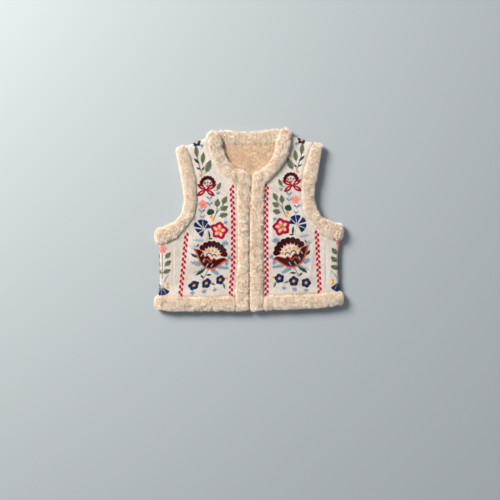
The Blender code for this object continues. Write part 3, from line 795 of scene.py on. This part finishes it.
def on_cloth(x, y):
    """The point of the suede at a pattern place, and its normal. The pattern goes on round
    the side folds and over the shoulders by arc length."""
    side = math.copysign(1.0, x)
    out = abs(x)
    past_side = out - SIDE_TURN_X
    below = (SHOULDER_NECK - Vector((out, y))).dot(shoulder_outward)
    past_shoulder = TURN_RADIUS - below
    if past_side > 0.0:
        reach, height = round_edge(past_side)
        guess = Vector((*laid(side * (SIDE_TURN_X + reach), y), height))
        return shell_tree.find_nearest(guess)[0:2]
    if past_shoulder > 0.0 and out > SHOULDER_NECK.x:
        reach, height = round_edge(past_shoulder)
        moved = Vector((out, y)) + shoulder_outward * (reach - past_shoulder)
        guess = Vector((*laid(side * moved.x, moved.y), height))
        return shell_tree.find_nearest(guess)[0:2]
    above = Vector((*laid(x, y), RAY_HEIGHT))
    place, normal = shell_tree.ray_cast(above, Vector((0.0, 0.0, -1.0)))[0:2]
    if place is None:
        above.z = CLOTH_TOP
        place, normal = shell_tree.find_nearest(above)[0:2]
    return place, normal


def round_edge(past):
    """Sideways reach and height of a point that lies this far past the start of a fold."""
    angle = past / TURN_RADIUS
    if angle < math.pi:
        return TURN_RADIUS * math.sin(angle), TURN_RADIUS * (1.0 + math.cos(angle))
    return math.pi * TURN_RADIUS - past, 0.0


stitches = {"left": [], "right": []}
stitch_random = random.Random(5)

# The fronts that are being sewn
sewn_sides = ["left", "right"]

# The left front has slipped: its motifs lie lower at the chest, and nearer to the middle
# below it. Each row of four says where a slip starts, is full, is full no more, and ends:
# down by y, across by y, and across by the distance from the middle. The braids stay
SLIP_DOWN_MM = 6.0
SLIP_DOWN_ROWS = (-100.0, -30.0, 90.0, 160.0)
SLIP_ACROSS_MM = 13.8
SLIP_ACROSS_ROWS = (-190.0, -130.0, -30.0, 5.0)
SLIP_ACROSS_OUT = (48.0, 152.0, 145.0, 170.0)
BRAID_THREAD = "raspberry"


def sew(start, end, thread, raised=0.0):
    """One stitch on each front, at mirrored places; a long one is split. raised is in mm."""
    length = math.dist(start, end)
    parts = max(1, math.ceil(length / LONGEST_STITCH_MM))
    for part in range(parts):
        ends = []
        for share in (part / parts, (part + 1) / parts):
            ends.append((start[0] + (end[0] - start[0]) * share,
                         start[1] + (end[1] - start[1]) * share))
        for word in sewn_sides:
            side = 1.0 if word == "right" else -1.0
            placed = [(side * x, y) for x, y in ends]
            if word == "left" and thread != BRAID_THREAD:
                placed = [slipped(*point) for point in placed]
            stitches[word].append((*placed, thread, raised))


def swell(value, start, full, last, end):
    """Rises softly from 0 to 1 between start and full, and falls between last and end."""
    return float(ease((value - start) / (full - start)) * ease((end - value) / (end - last)))


def slipped(x, y):
    """Where a point of the left front has slipped to, in mm; the side and the front stay."""
    across = swell(y, *SLIP_ACROSS_ROWS) * swell(-x, *SLIP_ACROSS_OUT)
    return x + SLIP_ACROSS_MM * across, y - SLIP_DOWN_MM * swell(y, *SLIP_DOWN_ROWS)


def fill(outline, degrees, thread, raised=0.0, spacing=STITCH_SPACING_MM):
    """Satin stitch across an outline of (x, y) in mm, in the direction given."""
    turn = math.radians(degrees)
    cosine, sine = math.cos(turn), math.sin(turn)
    turned = [(x * cosine + y * sine, y * cosine - x * sine) for x, y in outline]
    lowest = min(y for x, y in turned)
    rows = max(1, round((max(y for x, y in turned) - lowest) / spacing))
    step = (max(y for x, y in turned) - lowest) / rows
    for row in range(rows):
        level = lowest + (row + 0.5) * step
        crossings = []
        for (x0, y0), (x1, y1) in zip(turned, turned[1:] + turned[:1]):
            if (y0 > level) != (y1 > level):
                crossings.append(x0 + (x1 - x0) * (level - y0) / (y1 - y0))
        crossings.sort()
        for first, second in zip(crossings[0::2], crossings[1::2]):
            first -= stitch_random.uniform(0.0, END_JITTER_MM)
            second += stitch_random.uniform(0.0, END_JITTER_MM)
            sew((first * cosine - level * sine, first * sine + level * cosine),
                (second * cosine - level * sine, second * sine + level * cosine), thread, raised)


def through(points, steps=6):
    """A smooth curve through a few points, as a longer list of points."""
    padded = [points[0]] + list(points) + [points[-1]]
    curve = []
    for a, b, c, d in zip(padded, padded[1:], padded[2:], padded[3:]):
        for step in range(steps):
            t = step / steps
            curve.append(tuple(
                0.5 * (2 * b[k] + t * (c[k] - a[k] + t * (2 * a[k] - 5 * b[k] + 4 * c[k] - d[k]
                       + t * (3 * b[k] - a[k] - 3 * c[k] + d[k])))) for k in (0, 1)))
    return curve + [tuple(points[-1])]


def border(path, width, thread, raised=0.0, spacing=0.75, slant=0.5):
    """A satin cord along a path: short slanting stitches laid across it."""
    travelled = 0.0
    for (x0, y0), (x1, y1) in zip(path, path[1:]):
        length = math.dist((x0, y0), (x1, y1))
        while travelled < length:
            share = travelled / length
            x, y = x0 + (x1 - x0) * share, y0 + (y1 - y0) * share
            ux, uy = (x1 - x0) / length, (y1 - y0) / length
            ax, ay = 0.5 * width * (-uy + slant * ux), 0.5 * width * (ux + slant * uy)
            sew((x - ax, y - ay), (x + ax, y + ay), thread, raised)
            travelled += spacing
        travelled -= length


def petal(x, y, length, width, degrees, bulge=1.3, blunt=0.75):
    """Outline of a petal or leaf from its base at (x, y): bulge moves its widest place
    towards the tip when above 1, and a small blunt rounds its ends."""
    turn = math.radians(degrees)
    rim = []
    for side in (1.0, -1.0):
        half = []
        for step in range(13):
            along = step / 12
            wide = 0.5 * width * side * math.sin(math.pi * along ** bulge) ** blunt
            half.append((x + length * along * math.cos(turn) - wide * math.sin(turn),
                         y + length * along * math.sin(turn) + wide * math.cos(turn)))
        rim += half if side > 0 else half[::-1][1:-1]
    return rim


def leaf(x, y, length, width, degrees, thread, rib=None, teeth=0):
    """A leaf about its middle, in two halves whose stitches slant up from its rib."""
    turn = math.radians(degrees)
    x -= 0.5 * length * math.cos(turn)
    y -= 0.5 * length * math.sin(turn)
    for side in (1.0, -1.0):
        rim = [(0.0, 0.0), (1.0, 0.0)]
        for step in range(17):
            along = 1.0 - step / 16
            wide = math.sin(math.pi * along ** 0.85) ** 0.8
            if teeth:
                wide *= 0.74 + 0.38 * ((along * teeth) % 1.0)
            rim.append((along, 0.5 * width * side * wide))
        outline = [(x + length * a * math.cos(turn) - w * math.sin(turn),
                    y + length * a * math.sin(turn) + w * math.cos(turn)) for a, w in rim]
        fill(outline, degrees + side * 38.0, thread)
    if rib:
        tip = (x + 0.9 * length * math.cos(turn), y + 0.9 * length * math.sin(turn))
        border([(x - 0.12 * length * math.cos(turn), y - 0.12 * length * math.sin(turn)), tip],
               0.9, rib, raised=0.5, spacing=1.0)


def dot(x, y, radius, thread, degrees=20.0, raised=0.0):
    rim = [(x + radius * math.cos(math.radians(a)), y + radius * math.sin(math.radians(a)))
           for a in range(0, 360, 24)]
    fill(rim, degrees, thread, raised)


def flower(x, y, radius, thread, eye, heart=None, petals=5, start=90.0, wide=0.80, inner=0.12):
    """A small open flower: petals round a knot of another thread."""
    for index in range(petals):
        turn = start + 360.0 * index / petals
        base = (x + inner * radius * math.cos(math.radians(turn)),
                y + inner * radius * math.sin(math.radians(turn)))
        fill(petal(*base, (1.0 - inner) * radius, wide * radius, turn, 1.25, 0.6), turn, thread)
        reach = 0.5 * radius
        border([(x, y), (x + reach * math.cos(math.radians(turn)),
                         y + reach * math.sin(math.radians(turn)))], 0.9, heart or thread,
               raised=0.3)
    dot(x, y, 0.27 * radius, eye, raised=0.7)


def sprig(x, y, degrees, length, thread, count=3, spread=38.0, wide=0.24):
    """A tuft of narrow leaves that fan out from one point."""
    for index in range(count):
        share = index - 0.5 * (count - 1)
        turn = degrees + spread * share
        long = length * (1.0 - 0.12 * abs(share))
        fill(petal(x, y, long, wide * length, turn, 1.0, 0.9), turn + 25.0, thread)
    along = math.radians(degrees)
    border([(x + 0.2 * length * math.cos(along), y + 0.2 * length * math.sin(along)),
            (x - 0.4 * length * math.cos(along), y - 0.4 * length * math.sin(along))], 1.0, thread)


def feather(x, y, length, width, degrees, thread, pairs=4):
    """A feathery leaf: pairs of small barbs along a stem, with one more at its tip."""
    turn = math.radians(degrees)
    for index in range(pairs):
        along = length * (index + 0.2) / (pairs + 0.6)
        base = (x + along * math.cos(turn), y + along * math.sin(turn))
        barb = 0.72 * width * (1.0 - 0.30 * index / pairs)
        for side in (1.0, -1.0):
            tilt = degrees + side * 44.0
            fill(petal(*base, barb, 0.36 * barb, tilt, 1.0, 0.9), tilt, thread)
    tip = (x + 0.78 * length * math.cos(turn), y + 0.78 * length * math.sin(turn))
    fill(petal(*tip, 0.3 * length, 0.14 * length, degrees, 1.0, 0.9), degrees, thread)
    border([(x, y), tip], 1.3, thread, raised=0.3)


def fan_flower(x, y, petals, thread, veil="mist"):
    """A cornflower: wedge petals with notched tips spread from one point. petals holds the
    direction, the half spread in degrees and the length of each."""
    for turn, half, radius in petals:
        rim = [(0.14, 0.0)]
        for share, reach in ((-1.0, 0.90), (-0.62, 1.0), (-0.22, 0.95), (0.22, 1.0),
                             (0.62, 0.95), (1.0, 0.97)):
            rim.append((reach, share * half))
        outline = [(x + radius * reach * math.cos(math.radians(turn + off)),
                    y + radius * reach * math.sin(math.radians(turn + off)))
                   for reach, off in rim]
        fill(outline, turn, thread)
    dot(x, y, 2.6, veil, raised=0.4)


def star_flower(x, y, radius, start):
    """A pointed five-petalled flower: crimson edges, pink within, two amber knots."""
    for index in range(5):
        turn = start + 72.0 * index
        fill(petal(x, y, radius, 0.86 * radius, turn, 1.18, 0.95), turn, "crimson")
    for index in range(5):
        turn = start + 72.0 * index
        along = math.radians(turn)
        base = (x + 0.10 * radius * math.cos(along), y + 0.10 * radius * math.sin(along))
        fill(petal(*base, 0.58 * radius, 0.40 * radius, turn, 1.1, 0.85), turn, "pink", 0.5)
        border([(x + 0.25 * radius * math.cos(along), y + 0.25 * radius * math.sin(along)),
                (x + 0.56 * radius * math.cos(along), y + 0.56 * radius * math.sin(along))],
               1.5, "cream", 0.8)
    dot(x, y, 0.24 * radius, "ochre", 60.0, 0.9)
    dot(x - 1.2, y + 5.0, 3.4, "amber", 20.0, 1.2)
    dot(x + 2.6, y - 5.6, 3.4, "amber", 20.0, 1.2)


def carnation(x, y):
    """A side-on flower: a scalloped burgundy fan with red seeds over four crimson sepals."""
    for index in range(9):
        turn = 188.0 - 24.5 * index
        base = (x - 4.0 + 11.0 * math.cos(math.radians(turn)),
                y + 14.0 + 10.4 * math.sin(math.radians(turn)))
        fill(petal(*base, 10.4, 8.6, turn, 1.2, 0.5), turn, "burgundy")
    for seed_x, seed_y, thread in ((-11.4, 16.8, "crimson"), (-4.2, 18.6, "rust"),
                                   (3.2, 17.0, "crimson")):
        border([(x - 3.0, y + 6.0), (x + seed_x, y + seed_y)], 1.0, "moss", spacing=1.0)
        dot(x + seed_x, y + seed_y, 2.2, thread, raised=0.3)
    dot(x - 3.3, y + 9.0, 2.2, "rust", raised=0.4)
    for turn, length, width in ((153.0, 30.0, 11.5), (33.0, 27.0, 11.5), (217.0, 27.5, 11.5),
                                (327.0, 29.0, 11.5)):
        fill(petal(x, y, length, width, turn, 1.1, 0.85), turn + 25.0, "crimson")
        along = math.radians(turn)
        slit = [(x + length * share * math.cos(along), y + length * share * math.sin(along))
                for share in (0.34, 0.60)]
        border(slit, 0.9, "cream", 0.6)
    dot(x, y, 2.6, "crimson", raised=0.6)


def great_flower(x, y):
    """The large flower: a scalloped burgundy crown over amber dots, in a rust-edged cup."""
    for index in range(8):
        turn = 172.0 - 18.6 * index
        along = math.radians(turn)
        radius = 24.0 + 0.5 * index
        base = (x - 2.0 + radius * math.cos(along), y - 2.0 + radius * math.sin(along))
        fill(petal(*base, 20.0, 14.6, turn, 1.5, 0.5), turn, "burgundy")
        for off in (-6.0, 3.4):
            spike = along + math.radians(off)
            base = (x - 2.0 + (radius - 2.0) * math.cos(spike),
                    y - 2.0 + (radius - 2.0) * math.sin(spike))
            fill(petal(*base, 15.0, 4.4, turn + off, 1.6, 0.9), turn, "burgundy")
    for off_x, off_y in ((-21.0, 2.0), (-12.5, 10.6), (-3.0, 14.6), (8.6, 15.6), (17.6, 14.2)):
        dot(x + off_x, y + off_y, 3.6, "amber", 45.0)
        border([(x + 0.62 * off_x, y + 0.62 * off_y - 3.0), (x + 0.86 * off_x, y + 0.8 * off_y)],
               0.9, "mist", spacing=1.2)
    for off_x, off_y, radius in ((-8.0, -3.0, 6.2), (7.2, 1.2, 6.8)):
        arc = [(x + off_x + radius * math.cos(math.radians(a)),
                y + off_y + radius * math.sin(math.radians(a))) for a in range(176, -1, -22)]
        border(arc, 2.6, "burgundy")
    outer = through([(x + a, y + b) for a, b in (
        (-45.5, -13.0), (-35.5, -16.0), (-24.0, -24.0), (-10.8, -31.5), (4.0, -34.0),
        (16.5, -30.5), (28.6, -21.5), (36.0, -8.0), (41.0, 7.5), (45.5, 20.0))])
    inner = through([(x + a, y + b) for a, b in (
        (45.5, 20.0), (34.0, 17.5), (25.3, 11.0), (20.5, -2.0), (12.5, 1.0), (6.0, -3.5),
        (0.5, -11.0), (-7.6, -6.2), (-14.0, -11.0), (-24.0, -8.0), (-36.0, -6.6),
        (-45.5, -13.0))])
    fill(outer + inner[1:-1], 74.0, "burgundy")
    border(outer, 3.3, "rust", 0.5)
    border(inner, 1.9, "rust", 0.5)
    wave = through([(x + a, y + b) for a, b in (
        (-14.0, -11.0), (-6.5, -7.5), (2.5, -17.0), (8.5, -11.0), (14.0, -9.0), (19.5, -14.0),
        (24.0, -19.0))])
    border(wave, 2.0, "rust", 0.6)
    for off_x, off_y in ((28.6, 2.8), (22.6, -11.2), (12.2, -24.0), (-1.6, -25.6)):
        border([(x + off_x - 2.6, y + off_y + 3.8), (x + off_x + 2.6, y + off_y - 3.8)], 1.9,
               "mist", 0.7)


# The column of motifs from shoulder to hem, for the right front; sizes and places in mm.
# Shoulder: a navy flower over a spray of sage leaves
flower(136.0, 203.0, 11.5, "navy", "amber", start=80.0)
sprig(123.0, 191.4, 100.0, 8.0, "sky", count=5, spread=34.0)
border(through([(136.0, 167.4), (131.0, 150.4), (126.0, 134.4), (121.0, 124.4)]), 1.2, "moss")
leaf(136.5, 180.4, 28.0, 13.0, 84.0, "sage", rib="moss", teeth=4)
leaf(119.5, 163.4, 28.0, 13.0, 96.0, "sage", rib="moss", teeth=4)
leaf(105.5, 142.4, 31.0, 17.5, 112.0, "sage", rib="moss", teeth=4)
leaf(136.0, 154.9, 20.0, 6.0, 44.0, "pine")
leaf(131.0, 136.9, 12.0, 3.8, 22.0, "pine")
leaf(119.0, 136.4, 11.0, 3.8, 132.0, "pine")
dot(125.0, 120.9, 3.4, "amber")
# Chest: a carnation, a pink flower and light blue sprigs
carnation(111.5, 85.9)
leaf(79.0, 94.4, 20.0, 10.5, 116.0, "sage", rib="moss", teeth=3)
border([(84.0, 85.4), (93.0, 82.4)], 1.1, "moss")
sprig(80.0, 74.4, 60.0, 9.0, "sky", count=4, spread=40.0)
sprig(103.0, 61.4, 90.0, 12.0, "sky", count=2, spread=84.0, wide=0.36)
sprig(103.0, 46.4, 90.0, 11.5, "sky", count=2, spread=88.0, wide=0.36)
flower(119.8, 48.9, 12.0, "pink", "amber", "rose", start=82.0, wide=0.74)
sprig(123.0, 28.4, 90.0, 13.0, "sky", count=2, spread=90.0, wide=0.36)
sprig(120.0, 13.4, 80.0, 10.5, "sky", count=2, spread=76.0, wide=0.36)
# A spray of sage leaves with one pine leaf and two amber buds
border(through([(66.0, 52.4), (76.0, 39.4), (86.0, 26.4), (93.0, 10.4)]), 1.3, "moss")
border(through([(84.0, 38.4), (86.0, 30.4), (88.0, 22.4)]), 1.1, "moss")
leaf(66.0, 58.4, 21.0, 13.5, 122.0, "sage", rib="moss", teeth=3)
leaf(84.0, 51.4, 21.0, 14.5, 98.0, "sage", rib="moss", teeth=3)
leaf(67.5, 37.4, 19.5, 14.0, 148.0, "sage", rib="moss", teeth=3)
leaf(70.0, 19.4, 20.0, 14.5, 166.0, "sage", rib="moss", teeth=3)
sprig(98.6, 21.6, 70.0, 17.0, "pine", count=5, spread=22.0, wide=0.46)
dot(99.0, 15.4, 3.6, "amber")
dot(95.5, 7.4, 3.2, "amber")
# Waist: a star flower beside a cornflower
sprig(65.0, -2.6, 70.0, 9.0, "sky", count=5, spread=30.0)
star_flower(83.5, -20.6, 24.5, 104.0)
fan_flower(123.5, -16.1, ((154.0, 17.0, 22.0), (117.0, 16.5, 26.5), (82.0, 15.5, 26.0),
                          (35.5, 17.5, 25.5), (-8.0, 14.5, 25.0), (-44.0, 17.0, 24.0)), "navy")
leaf(113.0, -29.6, 20.0, 5.5, 86.0, "pine")
leaf(109.5, -41.1, 12.0, 4.2, 178.0, "pine")
border(through([(122.0, -22.6), (119.0, -33.6), (122.0, -46.6)]), 1.2, "mist")
feather(130.0, -45.6, 24.0, 10.0, 6.0, "mist", pairs=4)
# The great flower among light blue feathers, on its stem
sprig(69.0, -60.6, 92.0, 16.0, "sky", count=6, spread=26.0, wide=0.22)
sprig(148.0, -65.6, 20.0, 13.0, "mist", count=3, spread=42.0, wide=0.24)
leaf(146.0, -59.6, 11.0, 3.8, 120.0, "moss")
sprig(60.0, -100.6, 128.0, 12.0, "sky", count=4, spread=30.0, wide=0.24)
great_flower(107.0, -90.6)
leaf(152.5, -88.6, 16.0, 6.5, 52.0, "pine")
feather(90.0, -120.1, 30.0, 11.0, 187.0, "sky", pairs=5)
feather(108.0, -125.1, 27.0, 12.0, 212.0, "sky", pairs=5)
feather(138.0, -113.6, 21.0, 14.0, 22.0, "sky", pairs=3)
feather(127.0, -121.6, 28.0, 9.0, -22.0, "mist", pairs=5)
sprig(69.0, -112.6, 168.0, 12.0, "sky", count=4, spread=30.0, wide=0.24)
leaf(137.5, -130.6, 32.0, 11.0, -38.0, "pine", rib="moss", teeth=4)
border(through([(112.0, -121.6), (121.0, -134.6), (128.0, -149.6)]), 1.3, "moss")
leaf(113.0, -140.1, 16.0, 4.6, 178.0, "pine")
leaf(133.0, -144.1, 12.0, 4.2, 40.0, "pine")
# Hem: three navy flowers with small sprigs
flower(115.0, -161.6, 13.4, "navy", "amber", start=92.0, wide=0.88)
flower(147.0, -166.6, 12.8, "navy", "amber", start=70.0, wide=0.88)
flower(78.0, -153.6, 12.8, "navy", "amber", start=100.0, wide=0.88)
dot(62.0, -149.6, 3.0, "amber")
leaf(96.0, -163.6, 13.0, 4.6, 200.0, "sage")
sprig(118.0, -179.6, 250.0, 11.0, "sky", count=5, spread=36.0)
sprig(147.0, -182.6, 268.0, 10.0, "sky", count=5, spread=34.0)
sprig(90.0, -175.6, 262.0, 10.0, "sky", count=4, spread=36.0)
leaf(66.0, -169.6, 15.0, 5.5, 250.0, "sage")

# The column round each side fold: x of its pink flower and of its cornflower. The gilet is
# turned a little, so more of the left one is seen
SIDE_COLUMN_MM = {"left": (225.0, 225.0), "right": (236.0, 230.0)}
COLUMN_TOP_MM = -68.0
COLUMN_FOOT_MM = -166.0


def side_column(top, foot):
    """A flower over pairs of leaves that reach round the fold, and a cornflower at the foot."""
    def middle(y):
        return top + (foot - top) * (COLUMN_TOP_MM - y) / (COLUMN_TOP_MM - COLUMN_FOOT_MM)

    flower(top, COLUMN_TOP_MM, 12.5, "pink", "amber", "rose", wide=0.76)
    border(through([(middle(y), y) for y in (-82.0, -110.0, -148.0)]), 1.3, "moss")
    for off, y, tilt in ((15.5, -86.0, 38.0), (15.5, -107.0, 50.0), (12.5, -128.0, 68.0)):
        for away in (-1.0, 1.0):
            leaf(middle(y) + away * off, y, 20.0, 13.0, 90.0 - away * tilt, "sage", "moss", 3)
    border(through([(foot - 17.0, -138.0), (foot - 10.0, -146.0), (foot - 5.0, -156.0)]), 1.8,
           "sky")
    dot(foot - 14.0, -161.5, 3.3, "amber")
    dot(foot - 14.5, -169.5, 3.3, "amber")
    fan_flower(foot, COLUMN_FOOT_MM, ((230.0, 14.0, 25.0), (260.0, 14.0, 26.0),
                                      (290.0, 14.0, 26.0), (326.0, 15.0, 25.0),
                                      (8.0, 15.0, 23.0)), "navy")


for word in ("left", "right"):
    sewn_sides[:] = [word]
    side_column(*SIDE_COLUMN_MM[word])

# Stitched borders: a braid of raspberry satin grains beside each front band and near each
# side seam, in the same rayon thread. A braid is two staggered columns of leaning grains.
# BRAIDS has the top and the bottom of each in mm, the front one first
GRAIN_PITCH_MM = 14.0
GRAIN_LENGTH_MM = 9.6
GRAIN_WIDTH_MM = 5.8
GRAIN_LEAN = 20.0
COLUMN_OFFSET_MM = 2.7
BRAIDS = {
    "right": (((42.8, 88.0), (45.0, -194.0)), ((174.5, -36.0), (182.0, -190.0))),
    "left": (((47.5, 87.0), (47.5, -194.0)), ((162.0, -34.0), (178.0, -190.0))),
}


def braid(top, bottom):
    """A braid border from one (x, y) to another, in mm."""
    count = int((top[1] - bottom[1]) / (0.5 * GRAIN_PITCH_MM))
    for index in range(count + 1):
        share = index / count
        x = top[0] + (bottom[0] - top[0]) * share
        y = top[1] + (bottom[1] - top[1]) * share
        away = 1.0 if index % 2 else -1.0
        turn = 90.0 + away * GRAIN_LEAN
        lean = math.radians(turn)
        base = (x + away * COLUMN_OFFSET_MM - 0.5 * GRAIN_LENGTH_MM * math.cos(lean),
                y - 0.5 * GRAIN_LENGTH_MM * math.sin(lean))
        fill(petal(*base, GRAIN_LENGTH_MM, GRAIN_WIDTH_MM, turn, 1.0, 0.45), 0.0, BRAID_THREAD)


for word, ends in BRAIDS.items():
    sewn_sides[:] = [word]
    for top, bottom in ends:
        braid(top, bottom)


def build_stitch_tree():
    """Each polyline of the mesh becomes a round thread of the radius given."""
    tree = bpy.data.node_groups.new("stitches", "GeometryNodeTree")
    add_input(tree, "Paths", "NodeSocketGeometry")
    add_input(tree, "Radius", "NodeSocketFloat")
    add_input(tree, "Sides", "NodeSocketInt")
    add_input(tree, "Finish", "NodeSocketMaterial")
    tree.interface.new_socket(name="Threads", in_out="OUTPUT",
                              socket_type="NodeSocketGeometry")
    given = add_node(tree, "NodeGroupInput").outputs
    curves = add_node(tree, "GeometryNodeMeshToCurve", {"Mesh": given["Paths"]})
    section = add_node(tree, "GeometryNodeCurvePrimitiveCircle", {
        "Resolution": given["Sides"], "Radius": given["Radius"]})
    tubes = add_node(tree, "GeometryNodeCurveToMesh", {
        "Curve": curves.outputs["Curve"], "Profile Curve": section.outputs["Curve"],
        "Fill Caps": True})
    smooth = add_node(tree, "GeometryNodeSetShadeSmooth", {"Geometry": tubes.outputs["Mesh"]})
    real = add_node(tree, "GeometryNodeRealizeInstances", {
        "Geometry": smooth.outputs["Geometry"]})
    finished = add_node(tree, "GeometryNodeSetMaterial", {
        "Geometry": real.outputs["Geometry"], "Material": given["Finish"]})
    add_node(tree, "NodeGroupOutput", {"Threads": finished.outputs["Geometry"]})
    return tree


stitch_tree = build_stitch_tree()

rayon, rayon_tree, rayon_shader = new_material("rayon embroidery thread")
# Rayon thread: dyed, twisted and lustrous; it catches the light along each stitch
RAYON_TWIST_MM = 0.7
rayon_colour = add_node(rayon_tree, "ShaderNodeAttribute", attribute_name="thread")
rayon_place = add_node(rayon_tree, "ShaderNodeTexCoord").outputs["Object"]
rayon_noise = add_node(rayon_tree, "ShaderNodeTexNoise", {
    "Vector": rayon_place, "Scale": 1000.0 / RAYON_TWIST_MM, "Detail": 2.0})
rayon_light = add_node(rayon_tree, "ShaderNodeMapRange", {
    "Value": rayon_noise.outputs["Fac"], "From Min": 0.3, "From Max": 0.7,
    "To Min": 0.86, "To Max": 1.14})
rayon_tone = add_node(rayon_tree, "ShaderNodeHueSaturation", {
    "Value": rayon_light.outputs["Result"], "Color": rayon_colour.outputs["Color"]})
rayon_bump = add_node(rayon_tree, "ShaderNodeBump", {
    "Height": rayon_noise.outputs["Fac"], "Strength": 0.3, "Distance": 0.0002})
rayon_tree.links.new(rayon_tone.outputs["Color"], rayon_shader.inputs["Base Color"])
rayon_tree.links.new(rayon_bump.outputs["Normal"], rayon_shader.inputs["Normal"])
rayon_shader.inputs["Roughness"].default_value = 0.5
rayon_shader.inputs["Specular IOR Level"].default_value = 0.14


def sew_piece(word):
    """All the stitches of one side, as one mesh of threads that follows the suede."""
    points = []
    colours = []
    edges = []
    for start, end, thread, raised in stitches[word]:
        colour = linear(THREADS[thread])
        length = math.dist(start, end)
        arch = STITCH_ARCH * min(1.0, SHORT_ARCH_SHARE + length / LONGEST_STITCH_MM)
        tone = stitch_random.uniform(*STITCH_TONES)
        for step in range(STITCH_STEPS + 1):
            share = step / STITCH_STEPS
            x = (start[0] + (end[0] - start[0]) * share) / 1000.0
            y = (start[1] + (end[1] - start[1]) * share) / 1000.0
            place, normal = on_cloth(x, y)
            lift = STITCH_REST + raised / 1000.0 + arch * math.sin(math.pi * share)
            if step:
                edges.append((len(points) - 1, len(points)))
            place += normal * lift
            points.append((place.x, place.y, max(place.z, THREAD_RADIUS)))
            colours += [colour[0] * tone, colour[1] * tone, colour[2] * tone, 1.0]
    mesh = bpy.data.meshes.new("embroidery_" + word)
    mesh.from_pydata(points, edges, [])
    mesh.attributes.new("thread", "FLOAT_COLOR", "POINT").data.foreach_set("color", colours)
    thing = bpy.data.objects.new("embroidery_" + word, mesh)
    bpy.context.scene.collection.objects.link(thing)
    run_tree(thing, stitch_tree, {
        "Radius": THREAD_RADIUS, "Sides": THREAD_SIDES, "Finish": rayon})
    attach(thing, "root")
    return thing


for word in ("left", "right"):
    sew_piece(word)
